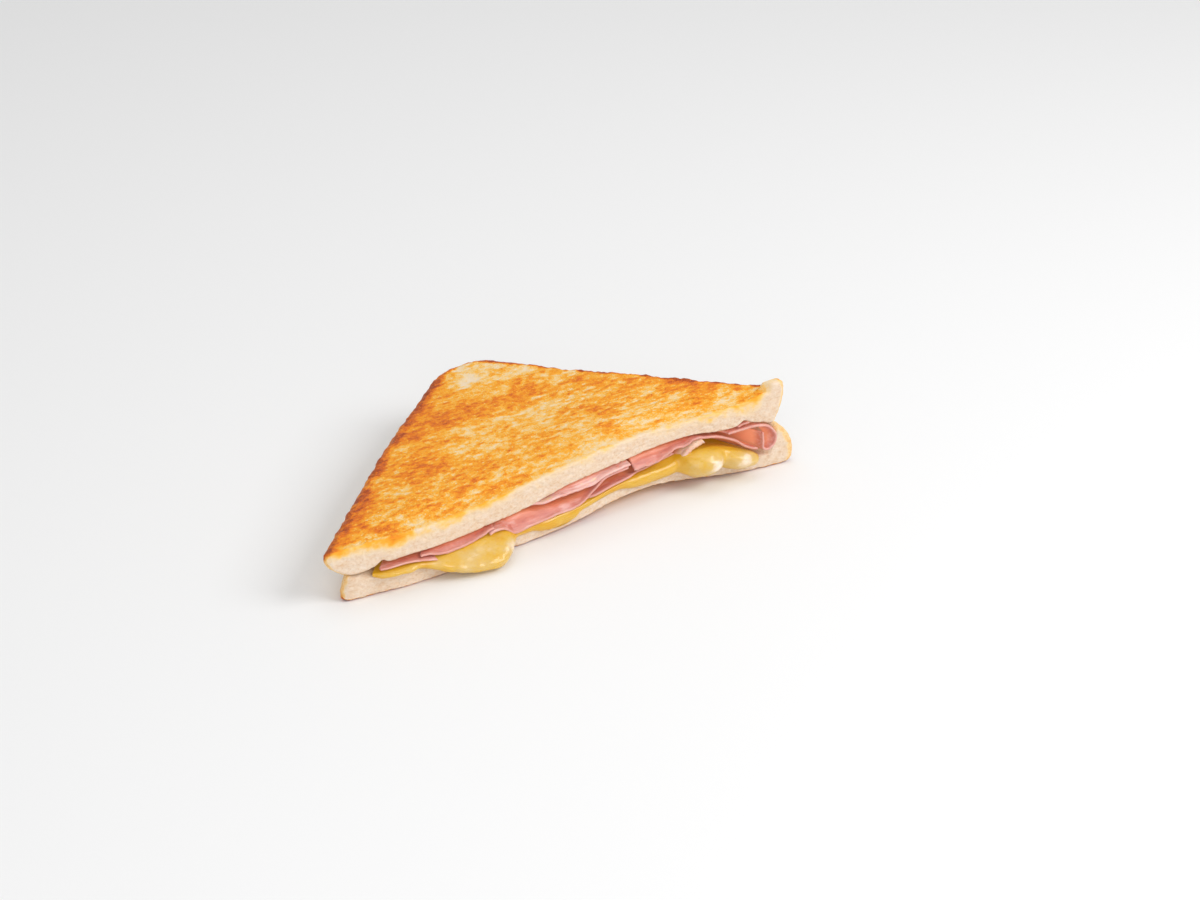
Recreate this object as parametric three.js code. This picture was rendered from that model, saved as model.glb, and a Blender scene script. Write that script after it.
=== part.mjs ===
// Half of a toasted ham and cheese sandwich, cut corner to corner: two slices of
// sandwich loaf, a layer of melted cheese that has run out of the cut in a big drip
// and two blobs, and thin slices of cooked ham folded between cheese and bread.
//
// Millimetres, +Z up. The half lies on its lower slice at z = 0. X runs along the
// cut from the thin tip (left) to the thick tip (right), Y runs from the cut back to
// the whole corner. The shapes are worked out with the cut straight along y = 0, and
// sway() then bends it into its slow S.
import * as THREE from 'three';

// ---------------------------------------------------------------- sizes
// Plan of each slice: where its two tips and its whole corner would be if sharp, how
// far each side of the crust pulls in towards the filling (taper), curves out along
// its length (bow) and swells beside the tip (bulge).
const TOP = {
  left: -85.0, right: 75.8, corner: [1.9, 81.2],
  leftTaper: 4.6, rightTaper: 2.4, leftBow: 1.1, rightBow: -0.5, leftBulge: 0.4, rightBulge: 1.2,
};
const BOTTOM = {
  left: -79.7, right: 79.0, corner: [4.0, 79.6],
  leftTaper: 1.2, rightTaper: 4.2, leftBow: 0.6, rightBow: 0, leftBulge: 0.4, rightBulge: 2.4,
};
const TIP_RADIUS = 1.6;
const CORNER_RADIUS = 17;
const CRUST_ROUND = 1.2;
const BULGE = { start: 16, over: 14, depth: 6 };

// The toasted top face is a plane that climbs towards the thick end.
const TOP_HEIGHT = 21.8;
const TOP_CLIMB = 0.0563;
const DROOP_DEPTH = 7;
const EAR = { start: 62, over: 6, height: 2.6, width: 4.6, edge: 1.6, depth: 5.5 };
const WAVES = { height: 0.35, x: 11, y: 9, atX: 0.7, atY: 0.4 };

// The slices meet loosely along the crust and are thick there: height of the lower
// slice's crust, and of the underside of the upper one.
const LOWER_CRUST = 9.3;
const UPPER_CRUST = 11.9;
const UPPER_CRUST_CLIMB = 0.0418;
const LOWER_CRUST_CLIMB = 0.0468;
const LOWER_CRUST_BOW = 0.00027;
const CRUST_BAND = [3.0, 6.4];

// The filling narrows towards this point, a little behind the whole corner, ends a
// margin inside the crusts and no deeper than its depth. Its heights follow the cut
// closely at first and are simple from DEEP on.
const FAN_X = 2;
const FAN_Y = 82;
const FILL_MARGIN = 4;
const FILL_EASE = 7;
const FILL_DEPTH = 68;
const FILL_LEAST = 0.9;
const DEEP = 16;

const HAM = 0.85;
const CLEAR = 0.3;
const CLEAR_DEEP = 0.66;

// Slow S of the cut, seen from above: [at x, reach, how far back].
const SWAY = [[-55, 24, -2.9], [34, 30, 4.8]];
const SWAY_DEPTH = 22;

// ---------------------------------------------------------------- helpers
const clamp = (t) => Math.min(1, Math.max(0, t));
const smooth = (t) => clamp(t) ** 2 * (3 - 2 * clamp(t));
const mix = (a, b, t) => a + (b - a) * t;
const bell = (x, at, reach) => Math.exp(-(((x - at) / reach) ** 2));
const side = (x, at, left, right) => (x < at ? (at - x) / left : (x - at) / right);

// A smooth curve through a few stations [x, value], level beyond both ends.
function through(stations) {
  const last = stations.length - 1;
  const slope = (i) => {
    const [x0, v0] = stations[Math.max(0, i - 1)];
    const [x1, v1] = stations[Math.min(last, i + 1)];
    return i === 0 || i === last ? 0 : (v1 - v0) / (x1 - x0);
  };
  return (x) => {
    if (x <= stations[0][0]) return stations[0][1];
    if (x >= stations[last][0]) return stations[last][1];
    const i = stations.findIndex((station) => station[0] > x) - 1;
    const [x0, v0] = stations[i];
    const [x1, v1] = stations[i + 1];
    const span = x1 - x0;
    const t = (x - x0) / span;
    const bend = (slope(i) * (1 - t) - slope(i + 1) * t) * span * t * (1 - t);
    const ease = t * t * (3 - 2 * t);
    return v0 + (v1 - v0) * ease + bend;
  };
}

// ---------------------------------------------------------------- plan of a slice
// Distance inside the two crust lines, rounded off behind the whole corner.
const CORNER_SOFT = 6;
function insideCrust(slice, x, y) {
  const [cx, cy] = slice.corner;
  const fromLeft = ((x - slice.left) * cy - y * (cx - slice.left)) / Math.hypot(cx - slice.left, cy);
  const fromRight = ((slice.right - x) * cy - y * (slice.right - cx)) / Math.hypot(slice.right - cx, cy);
  const soft = Math.exp(-fromLeft / CORNER_SOFT) + Math.exp(-fromRight / CORNER_SOFT);
  return -CORNER_SOFT * Math.log(soft);
}

// Outline of a slice, counterclockwise from the left end of the cut, with the crust
// pulled in by a share of its taper. Steps: cut, right tip, crust, corner, crust, tip.
const STEPS = { cut: 66, tip: 3, rightCrust: 14, corner: 8, leftCrust: 16 };
function outline(slice, pulledIn) {
  const left = slice.left + slice.leftTaper * pulledIn * Math.SQRT2;
  const right = slice.right - slice.rightTaper * pulledIn * Math.SQRT2;
  const drop = (slice.leftTaper + slice.rightTaper) / 2;
  const corners = [[left, 0], [right, 0], [slice.corner[0], slice.corner[1] - drop * pulledIn * Math.SQRT2]];
  const radii = [TIP_RADIUS, TIP_RADIUS, CORNER_RADIUS];
  const arcs = corners.map((at, i) => {
    const before = corners[(i + 2) % 3];
    const after = corners[(i + 1) % 3];
    const a = new THREE.Vector2(before[0] - at[0], before[1] - at[1]).normalize();
    const b = new THREE.Vector2(after[0] - at[0], after[1] - at[1]).normalize();
    const half = Math.acos(a.dot(b)) / 2;
    const middle = a.clone().add(b).normalize();
    const centre = new THREE.Vector2(...at).addScaledVector(middle, radii[i] / Math.sin(half));
    const reach = radii[i] / Math.tan(half);
    const from = new THREE.Vector2(...at).addScaledVector(a, reach).sub(centre).angle();
    const turn = Math.PI - 2 * half;
    return { centre, radius: radii[i], from, turn };
  });
  const onArc = (arc, t) => new THREE.Vector2(arc.radius, 0)
    .rotateAround(new THREE.Vector2(), arc.from + arc.turn * t).add(arc.centre);
  const points = [];
  const addLine = (a, b, steps, bow = 0) => {
    const out = b.clone().sub(a).normalize().rotateAround(new THREE.Vector2(), -Math.PI / 2);
    for (let k = 0; k < steps; k += 1) {
      points.push(a.clone().lerp(b, k / steps).addScaledVector(out, bow * Math.sin((Math.PI * k) / steps)));
    }
  };
  const addArc = (arc, steps) => {
    for (let k = 0; k < steps; k += 1) points.push(onArc(arc, k / steps));
  };
  addLine(onArc(arcs[0], 1), onArc(arcs[1], 0), STEPS.cut);
  addArc(arcs[1], STEPS.tip);
  addLine(onArc(arcs[1], 1), onArc(arcs[2], 0), STEPS.rightCrust, slice.rightBow);
  addArc(arcs[2], STEPS.corner);
  addLine(onArc(arcs[2], 1), onArc(arcs[0], 0), STEPS.leftCrust, slice.leftBow);
  addArc(arcs[0], STEPS.tip);
  points.forEach((p) => {
    const nearCut = Math.exp(-((p.y / BULGE.depth) ** 2));
    p.x += slice.rightBulge * nearCut * smooth((p.x - slice.right + BULGE.start) / BULGE.over);
    p.x -= slice.leftBulge * nearCut * smooth((slice.left + BULGE.start - p.x) / BULGE.over);
  });
  return points;
}

// ---------------------------------------------------------------- heights
// The fan's line through [x, y] meets the cut at fanX, and squeezedX goes back.
const fanX = (x, y) => FAN_X + (x - FAN_X) / (1 - y / FAN_Y);
const squeezedX = (x, y) => FAN_X + (x - FAN_X) * (1 - Math.max(0, y) / FAN_Y);
const deepShare = (y) => clamp(y / DEEP);
const crustShare = (slice, x, y) => {
  const [full, none] = CRUST_BAND;
  return smooth((none - insideCrust(slice, x, y)) / (none - full));
};

// Upper face of the whole: the plane, drooping to the cut, with the pinched-up crust
// at the thick tip and a slow waviness.
const droop = through([[-84, 0.5], [-50, 1.5], [-25, 1.6], [-2, 0.6], [12, 0.6], [38, 2.0], [60, 1.3],
  [70, 0]]);
function topFace(x, y) {
  const plane = TOP_HEIGHT + TOP_CLIMB * x;
  const sag = droop(x) * Math.exp(-((y / DROOP_DEPTH) ** 2));
  const atTip = smooth((x - EAR.start) / EAR.over) * Math.exp(-((y / EAR.depth) ** 2));
  const ear = EAR.height * atTip * smooth((EAR.width - insideCrust(TOP, x, y)) / EAR.edge);
  const waves = Math.sin(x / WAVES.x + WAVES.atX) * Math.sin(y / WAVES.y + WAVES.atY);
  return plane - sag + ear + WAVES.height * waves;
}

// Underside of the upper slice at the cut, with the dents that the filling leaves.
const upperAtCut = through([[-80, 8.6], [-72, 8.1], [-58, 9.9], [-42, 9.9], [-18, 11.5], [0, 14.7],
  [20, 15.4], [42, 16.8], [53, 15.9], [66, 16.4], [73, 15.2]]);
const DENTS = [[-65.6, 2.0, 1.5], [61.4, 2.6, 1.9]];
const upperDeep = (x) => 13.4 + 0.05 * x;
function upperInner(x, y) {
  const fx = fanX(x, y);
  const dents = DENTS.reduce((sum, [at, reach, depth]) => sum + depth * bell(fx, at, reach), 0);
  const inside = mix(upperAtCut(fx) + dents, upperDeep(fx), deepShare(y));
  const rim = UPPER_CRUST + UPPER_CRUST_CLIMB * x;
  return mix(inside, rim, crustShare(TOP, x, y));
}

// Upper face of the lower slice, pressed down by the filling inside its crust.
const lowerAtCut = through([[-78, 7.0], [-66, 6.2], [-55, 6.0], [-40, 4.6], [-20, 4.2], [0, 4.8],
  [14, 6.9], [36, 7.0], [50, 6.4], [62, 4.7], [70, 4.4]]);
const lowerDeep = (x) => 6.2 + 0.01 * x;
function lowerInner(x, y) {
  const fx = fanX(x, y);
  const inside = mix(lowerAtCut(fx), lowerDeep(fx), deepShare(y));
  const rim = LOWER_CRUST + LOWER_CRUST_CLIMB * x + LOWER_CRUST_BOW * x * x;
  return mix(inside, rim, crustShare(BOTTOM, x, y));
}

// Underside of the lower slice: flat, but lifted along the middle of the cut.
const LIFT = { at: 24, reach: 24, height: 3.4, depth: 8 };
const lowerFace = (x, y) => LIFT.height * bell(x, LIFT.at, LIFT.reach) * Math.exp(-((y / LIFT.depth) ** 2));

// Top of the melted cheese under the ham: a film that thins out where the slices meet.
const cheeseAtCut = through([[-70, 8.0], [-64, 7.9], [-56, 8.0], [-46, 6.7], [-34, 6.8], [-26, 8.3],
  [-20, 5.7], [-8, 6.3], [0, 6.4], [8, 7.4], [16, 8.6], [28, 9.0], [36, 10.2], [45, 9.6], [56, 8.0],
  [64, 6.2], [69, 5.6]]);
const FILM_DEEP = 1.9;
const FILM_ROOM = 4.5;
function cheeseTop(x, y) {
  const fx = fanX(x, y);
  const film = mix(cheeseAtCut(fx) - lowerAtCut(fx), FILM_DEEP, deepShare(y));
  const room = clamp((upperInner(x, y) - lowerInner(x, y)) / FILM_ROOM);
  return lowerInner(x, y) + film * room;
}

// ---------------------------------------------------------------- solids
function sway(x, y, z) {
  const hold = y > 0 ? Math.exp(-((y / SWAY_DEPTH) ** 2)) : 1;
  const shift = SWAY.reduce((sum, [at, reach, back]) => sum + back * bell(x, at, reach), 0);
  return [x, y + shift * hold, z];
}

// A closed solid from points and triangles, with its faces turned outwards.
function solid(points, triangles) {
  const at = points.map(([x, y, z]) => new THREE.Vector3(...sway(x, y, z)));
  const volume = triangles.reduce((sum, [a, b, c]) => sum + at[a].dot(at[b].clone().cross(at[c])), 0);
  const turned = volume < 0 ? triangles.map(([a, b, c]) => [a, c, b]) : triangles;
  const geometry = new THREE.BufferGeometry();
  geometry.setAttribute('position', new THREE.Float32BufferAttribute(at.flatMap((p) => [p.x, p.y, p.z]), 3));
  geometry.setIndex(turned.flat());
  geometry.computeVertexNormals();
  return geometry;
}

// Triangles of a skin over equal closed loops whose points follow each other.
function bands(loops) {
  const count = loops[0].length;
  const triangles = [];
  for (let row = 0; row < loops.length - 1; row += 1) {
    for (let k = 0; k < count; k += 1) {
      const here = row * count + k;
      const next = row * count + ((k + 1) % count);
      triangles.push([here, here + count, next + count], [here, next + count, next]);
    }
  }
  return triangles;
}

// A skin over loops that close to a point at each end.
function skinToPoints(loops, first, last) {
  const count = loops[0].length;
  const start = (loops.length - 1) * count;
  const total = loops.length * count;
  const triangles = bands(loops);
  for (let k = 0; k < count; k += 1) {
    triangles.push([total, k, (k + 1) % count], [total + 1, start + ((k + 1) % count), start + k]);
  }
  return solid([...loops.flat(), first, last], triangles);
}

// A skin over flat long loops, whose two ends are zipped from side to side.
function skinZipped(loops) {
  const count = loops[0].length;
  const start = (loops.length - 1) * count;
  const triangles = bands(loops);
  for (let k = 0; k < count / 2 - 1; k += 1) {
    const far = count - 1 - k;
    triangles.push([k, k + 1, far - 1], [k, far - 1, far]);
    triangles.push([start + k, start + far - 1, start + k + 1], [start + k, start + far, start + far - 1]);
  }
  return solid(loops.flat(), triangles);
}

// ---------------------------------------------------------------- bread
// Rings from the middle of the outer face, over the crust and the cut, to the middle
// of the inner face. The crust is widest near the outer face and pulls in below it.
const MIDDLE = [0, 25];
const OUTER_RINGS = [0.42, 0.74, 0.9, 1];
const EDGE_SHARES = [0.88, 0.62, 0.34, 0.12];
const INNER_RINGS = [1, 0.93, 0.85, 0.64, 0.36];
const PULL_POWER = 2.2;
const ROUND_POWER = 8;
const ROUND_SHARE = 0.3;
const crustPull = (share) => (1 - share) ** PULL_POWER + ROUND_SHARE * CRUST_ROUND * share ** ROUND_POWER;
function breadSlice(slice, outerFace, innerFace) {
  const ring = (share, scale) => outline(slice, crustPull(share)).map((p) => {
    const x = mix(MIDDLE[0], p.x, scale);
    const y = mix(MIDDLE[1], p.y, scale);
    return [x, y, mix(innerFace(x, y), outerFace(x, y), share)];
  });
  const loops = [
    ...OUTER_RINGS.map((scale) => ring(1, scale)),
    ...EDGE_SHARES.map((share) => ring(share, 1)),
    ...INNER_RINGS.map((scale) => ring(0, scale)),
  ];
  return skinToPoints(loops, [...MIDDLE, outerFace(...MIDDLE)], [...MIDDLE, innerFace(...MIDDLE)]);
}

// ---------------------------------------------------------------- cheese
// What has run out of the cut: where, how wide to each side, how far out, how low,
// how high its crest is and how that tilts, whether it slumps forward (1) or bulges
// round (0), how its outline swells (0.5 a half circle, over 1 a bell), and the same
// for its crest.
const BLOB = { tilt: 0, slump: 0, swell: 0.6, peak: 0.6 };
const FLOWS = [
  { ...BLOB, at: -61, left: 8, right: 9, out: 2.6, low: 5.0, crest: 7.4 },
  {
    ...BLOB, at: -29, left: 27, right: 6.2, out: 8.6, low: 0.15, crest: 8.2,
    slump: 1, swell: 1.5, peak: 4.5,
  },
  { ...BLOB, at: -6, left: 8, right: 8, out: 1.5, low: 2.2, crest: 6.2, slump: 0.4 },
  { ...BLOB, at: 29, left: 11, right: 10, out: 2.2, low: 5.2, crest: 9.4, slump: 0.2 },
  { ...BLOB, at: 46, left: 7.6, right: 7.4, out: 7.4, low: 3.3, crest: 12.6 },
  { ...BLOB, at: 58.6, left: 7.0, right: 6.8, out: 5.6, low: 2.6, crest: 9.4, tilt: -0.42 },
];
const CHEESE_LEFT = -69;
const CHEESE_RIGHT = 66.4;
const CHEESE_STEPS = 78;
const CHEESE_GAP = 0.45;
const CHEESE_GAP_DEEP = 0.7;
const LIP = { out: 0.7, below: 0.5, under: 0.1 };
const NOSE = { steps: 8, from: 0.12, to: 0.93, round: 0.75, slumpRate: 1.1, slumpPower: 0.8 };
const FIRST_ROW = 2.5;
const EASE_SHARE = 0.6;

function flowAt(x) {
  const base = { out: LIP.out, low: lowerAtCut(x) - LIP.below, crest: cheeseAtCut(x) - LIP.under, slump: 0 };
  return FLOWS.reduce((sum, flow) => {
    const within = Math.max(0, 1 - side(x, flow.at, flow.left, flow.right) ** 2);
    const share = within ** flow.swell;
    return {
      out: Math.max(sum.out, mix(LIP.out, flow.out, share)),
      low: Math.min(sum.low, mix(base.low, flow.low, share)),
      crest: mix(sum.crest, flow.crest + flow.tilt * (x - flow.at), within ** flow.peak),
      slump: Math.max(sum.slump, flow.slump * share),
    };
  }, base);
}

// How far back the filling goes, to stay a margin inside both crusts.
function fillBack(x, margin = FILL_MARGIN) {
  const atCut = Math.min(insideCrust(TOP, x, 0), insideCrust(BOTTOM, x, 0));
  return Math.max(FILL_LEAST, Math.min(FILL_DEPTH, FAN_Y * (1 - margin / atCut)));
}

// Depths of the rows that a layer has behind the cut: its end, where the slices start
// to close on it, where it turns simple, and the first row.
function rowsBehind(x, first, back, slack, depth = 1) {
  const ease = Math.max(mix(first, back, EASE_SHARE), Math.min(fillBack(x, FILL_EASE) * depth, back - slack));
  return [back, ease, ease > DEEP + 1 ? DEEP : mix(first, ease, 0.5), first];
}

// A section across the cut: back edge, top, nose and, a gap above the lower slice,
// the way back.
function cheeseSection(x) {
  const flow = flowAt(x);
  const back = fillBack(x);
  const ledge = (y) => lowerInner(squeezedX(x, y), y) + mix(CHEESE_GAP, CHEESE_GAP_DEEP, deepShare(y));
  const lid = (y) => cheeseTop(squeezedX(x, y), y);
  const point = (y, z) => [squeezedX(x, y), y, z];
  const depths = rowsBehind(x, Math.min(FIRST_ROW, back * 0.4), back, 1);
  const points = depths.map((y) => point(y, lid(y)));
  for (let k = 0; k <= NOSE.steps; k += 1) {
    const t = k / NOSE.steps;
    const round = Math.sin(Math.PI * mix(NOSE.from, NOSE.to, t)) ** NOSE.round;
    const slumped = smooth(t * NOSE.slumpRate) ** NOSE.slumpPower;
    const out = flow.out * mix(round, slumped, flow.slump);
    points.push(point(-out, mix(flow.crest, flow.low, t)));
  }
  points.push(point(-CHEESE_GAP - 0.1, flow.low + 0.05));
  points.push(point(-CHEESE_GAP, mix(flow.low, ledge(0), 0.5)));
  points.push(point(-CHEESE_GAP, ledge(0) + 0.15));
  points.push(...depths.toReversed().map((y) => point(y, ledge(y))));
  return points;
}

function cheeseLayer() {
  const loops = [];
  for (let k = 0; k <= CHEESE_STEPS; k += 1) {
    loops.push(cheeseSection(mix(CHEESE_LEFT, CHEESE_RIGHT, k / CHEESE_STEPS)));
  }
  return skinZipped(loops);
}

// ---------------------------------------------------------------- ham
// A height at the cut, carried back into the filling between cheese and bread.
function carriedBack(x, y, z) {
  const inX = squeezedX(x, y);
  const inY = Math.max(0, y);
  const clear = (py) => mix(CLEAR, CLEAR_DEEP, deepShare(py));
  const low = (px, py) => cheeseTop(px, py) + clear(py);
  const high = (px, py) => upperInner(px, py) - clear(py);
  const share = (z - low(x, 0)) / (high(x, 0) - low(x, 0));
  return [inX, y, mix(low(inX, inY), high(inX, inY), share)];
}

// Depths of a slice's rows, from its back edge to the edge that hangs out of the cut.
const HANG_START = 2.4;
const HAM_MARGIN = FILL_MARGIN + 0.4;
const HAM_LEAST = HANG_START + 0.6;
function hamRows(x, front, depth) {
  const back = Math.max(HAM_LEAST, fillBack(x, HAM_MARGIN) * depth);
  return [...rowsBehind(x, HANG_START, back, 0.5, depth), mix(HANG_START, front, 0.5), front];
}

// One slice of ham: path [x, z] along the cut, how far each place stands out of the
// cut and how far its edge hangs down there, steps along the path, the share of the
// filling's depth that the slice goes back, and its thickness.
const HANG_LEAN = 0.35;
const HANG_FULL = 3;
function hamSlice({ path, out, hang, steps, depth = 1, thickness = HAM }) {
  const knots = path.map(([x, z]) => new THREE.Vector3(x, 0, z));
  const route = new THREE.CatmullRomCurve3(knots, false, 'centripetal');
  const face = (turn) => {
    const columns = [];
    for (let k = 0; k <= steps; k += 1) {
      const middle = route.getPointAt(k / steps);
      const along = route.getTangentAt(k / steps);
      const x = middle.x - (along.z * turn * thickness) / 2;
      const z = middle.z + (along.x * turn * thickness) / 2;
      const front = -out(middle.x);
      columns.push(hamRows(middle.x, front, depth).map((y) => {
        const lip = smooth((HANG_START - y) / (HANG_START - front));
        const lean = turn * thickness * HANG_LEAN * lip * Math.min(1, hang(middle.x) / HANG_FULL);
        const [inX, inY, inZ] = carriedBack(x, y, z);
        return [inX, inY - lean, inZ - hang(middle.x) * lip];
      }));
    }
    return columns[0].map((_, row) => columns.map((column) => column[row]));
  };
  const upper = face(1);
  const lower = face(-1);
  const rows = upper.length - 1;
  const width = steps + 1;
  const count = width * (rows + 1);
  const points = [...upper.flat(), ...lower.flat()];
  const triangles = [];
  const quad = (a, b, c, d) => triangles.push([a, b, c], [a, c, d]);
  for (let row = 0; row < rows; row += 1) {
    for (let k = 0; k < steps; k += 1) {
      const a = row * width + k;
      quad(a, a + 1, a + width + 1, a + width);
      quad(count + a, count + a + width, count + a + width + 1, count + a + 1);
    }
    const start = row * width;
    quad(start, start + width, count + start + width, count + start);
    const end = start + steps;
    quad(end, count + end, count + end + width, end + width);
  }
  const lastRow = rows * width;
  for (let k = 0; k < steps; k += 1) {
    quad(k + 1, k, count + k, count + k + 1);
    quad(lastRow + k, lastRow + k + 1, count + lastRow + k + 1, count + lastRow + k);
  }
  return solid(points, triangles);
}

// Paths that follow the upper slice from below, or the cheese from above.
const under = (x, below) => upperAtCut(x) - below;
const over = (x, above) => cheeseAtCut(x) + above;
const stations = (from, to, count, height) => Array.from({ length: count + 1 }, (_, k) => {
  const x = mix(from, to, k / count);
  return [x, height(x)];
});

const HAM_SLICES = {
  ham_left_low: {
    path: stations(-66.6, -54.6, 4, (x) => over(x, 0.62)),
    out: () => 1.3, hang: () => 0.3, steps: 10, depth: 0.75, thickness: 0.6,
  },
  ham_left: {
    path: stations(-53.8, -23.6, 6, (x) => under(x, 0.85)),
    out: () => 1.5, hang: through([[-54, 0.6], [-46, 1.6], [-34, 1.4], [-28, 0.2]]), steps: 18,
  },
  ham_middle: {
    path: [[-22.6, 9.6], [-16, 9.8], [-8, 9.4], [0.5, 8.8], [5, 9.5], [8, 10.6], [11, 12.2], [14, 12.8],
      [20.5, 12.9]],
    out: through([[-22, 1.8], [-6, 1.2], [8, 0.8], [12, 0.4]]),
    hang: through([[-22, 3.5], [-16, 3.6], [-8, 2.2], [-2, 0.4]]), steps: 26,
  },
  ham_upper: {
    path: stations(-14, 21.2, 6, (x) => under(x, 0.85)),
    out: () => 0.9, hang: through([[-14, 0.6], [-4, 1.9], [8, 2.4], [12, 0.8], [21, 0.9]]), steps: 20,
  },
  ham_under: {
    path: stations(-0.5, 38, 6, (x) => over(x, 0.85)),
    out: through([[-1, 0.9], [20, 0.8], [25, -0.6]]), hang: () => 0.1, steps: 20,
  },
  ham_right: {
    path: [[22.4, 14.5], [32, 15.0], [40, 15.8], [45, 15.9], [48.5, 15.1], [52.9, 14.2], [55.4, 13.2],
      [58.2, 11.8], [60.6, 9.9], [63, 8.5], [65.2, 7.9]],
    out: through([[22, 1.2], [40, 1.2], [46, 0.6], [65, 0.9]]),
    hang: through([[22, 3.2], [31, 3.4], [36, 1.8], [41, 1.6], [46, 0.1]]), steps: 32,
  },
  ham_fold: {
    path: [[55.2, 15.0], [60, 15.3], [65, 15.3], [68.6, 14.5], [71, 12.2], [71.6, 9.9], [70.8, 7.6],
      [68.8, 6.5], [67.3, 7.4], [67.2, 9.5], [66.9, 12.9]],
    out: () => 0.7, hang: () => 0, steps: 34, depth: 0.7,
  },
  ham_scrap: {
    path: [[58.9, 16.2], [60.4, 16.8], [62.6, 16.9]],
    out: () => 0.2, hang: () => 0, steps: 5, depth: 0.1, thickness: 0.5,
  },
  ham_rind: {
    path: [[38.8, 12.4], [41.2, 13.7], [44.2, 14.7]],
    out: () => 2.0, hang: () => 0.6, steps: 6, depth: 0.05, thickness: 0.7,
  },
};

// ---------------------------------------------------------------- the whole
const toast = new THREE.MeshStandardMaterial({ color: 0xe9a94f, roughness: 0.75, metalness: 0 });
const melted = new THREE.MeshStandardMaterial({ color: 0xe9c04a, roughness: 0.3, metalness: 0 });
const pink = new THREE.MeshStandardMaterial({ color: 0xdf9f97, roughness: 0.4, metalness: 0 });

const sandwich = new THREE.Group();
function add(name, geometry, material) {
  const piece = new THREE.Mesh(geometry, material);
  piece.name = name;
  sandwich.add(piece);
}
add('bread_bottom', breadSlice(BOTTOM, lowerFace, lowerInner), toast);
add('bread_top', breadSlice(TOP, topFace, upperInner), toast);
add('cheese', cheeseLayer(), melted);
Object.entries(HAM_SLICES).forEach(([name, slice]) => add(name, hamSlice(slice), pink));

// The origin is the middle of the floor that the half covers.
const middle = new THREE.Box3().setFromObject(sandwich).getCenter(new THREE.Vector3());
sandwich.position.set(-middle.x, -middle.y, 0);

export default sandwich;
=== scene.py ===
# %% [markdown]
# # Half of a toasted ham and cheese sandwich
# Two slices of sandwich loaf were toasted round ham and cheese, and cut corner to
# corner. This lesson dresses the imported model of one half. The frame holds the solid
# pieces, and each one gets a fine surface here, worked out with numpy from the same
# few sizes. Lengths are millimetres until a mesh is made.

import bpy
import numpy as np
from mathutils import Matrix, Vector


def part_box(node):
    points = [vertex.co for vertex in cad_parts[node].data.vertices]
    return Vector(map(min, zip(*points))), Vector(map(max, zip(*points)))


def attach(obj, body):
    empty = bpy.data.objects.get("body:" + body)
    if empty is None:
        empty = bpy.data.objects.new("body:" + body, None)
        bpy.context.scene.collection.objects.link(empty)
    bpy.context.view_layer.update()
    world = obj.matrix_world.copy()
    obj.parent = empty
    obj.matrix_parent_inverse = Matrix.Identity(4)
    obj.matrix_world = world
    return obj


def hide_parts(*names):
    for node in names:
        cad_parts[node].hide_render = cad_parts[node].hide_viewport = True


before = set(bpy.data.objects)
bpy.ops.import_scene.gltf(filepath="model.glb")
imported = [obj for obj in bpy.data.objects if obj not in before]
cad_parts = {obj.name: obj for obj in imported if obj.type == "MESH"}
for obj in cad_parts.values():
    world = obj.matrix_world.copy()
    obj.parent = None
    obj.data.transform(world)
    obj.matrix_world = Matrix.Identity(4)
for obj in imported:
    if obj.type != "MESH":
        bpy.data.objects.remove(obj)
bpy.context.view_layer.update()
MM = 0.001
print("nodes:", ", ".join(sorted(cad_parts)))

# %% [markdown]
# ## Small tools for curves
# Food has no straight lines, so most sizes here change along the cut. Each such size
# is a smooth curve through a few stations, like a spline that a boat builder bends
# round a few nails. One polynomial through all of them would swing between them, and
# straight pieces would show as kinks, so each span has its own cubic. The same helpers
# take one number or a whole array.

# %% Curves and blends
def clamp(t):
    """t, but no less than 0 and no more than 1."""
    return np.clip(t, 0.0, 1.0)


def smooth(t):
    """0 below 0, 1 above 1, and 3t^2 - 2t^3 between."""
    t = clamp(t)
    return t * t * (3 - 2 * t)


def mix(a, b, t):
    """a where t is 0, b where t is 1, and in proportion between."""
    return a + (b - a) * t


def bell(x, at, reach):
    """1 at `at`, and exp(-1) one reach away."""
    return np.exp(-(((x - at) / reach) ** 2))


def through(*stations):
    """A curve through stations (x, value): a cubic between two, level beyond the ends.

    At a station its slope is that of the line from the station before to the one after.
    """
    at, value = np.array(stations, float).T
    slope = np.zeros_like(value)
    slope[1:-1] = (value[2:] - value[:-2]) / (at[2:] - at[:-2])

    def curve(x):
        """The cubic of the span that x is in: a smooth step, plus a bend from both slopes."""
        x = np.clip(x, at[0], at[-1])
        i = np.clip(np.searchsorted(at, x, side="right") - 1, 0, len(at) - 2)
        span = at[i + 1] - at[i]
        t = (x - at[i]) / span
        bend = (slope[i] * (1 - t) - slope[i + 1] * t) * span * t * (1 - t)
        return mix(value[i], value[i + 1], smooth(t)) + bend

    return curve


print("a bell, one reach away from its middle:", round(float(bell(1, 0, 1)), 3))

# %% [markdown]
# ## Noise for relief and browning
# Crumb, toast and meat are uneven in every size at once. Blender's own textures could
# push the points about, but only through modifiers, and marks for the colours need the
# same numbers. So random values on a lattice are blended smoothly between its corners,
# which gives bumps of one size, and `layered` adds up the sizes that a piece needs. The
# lattice is turned at random, so that its rows don't show, and the seed fixes the draw.

# %% Lattice noise
LATTICE, LATTICE_PEAK = 48, 1.6


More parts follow.
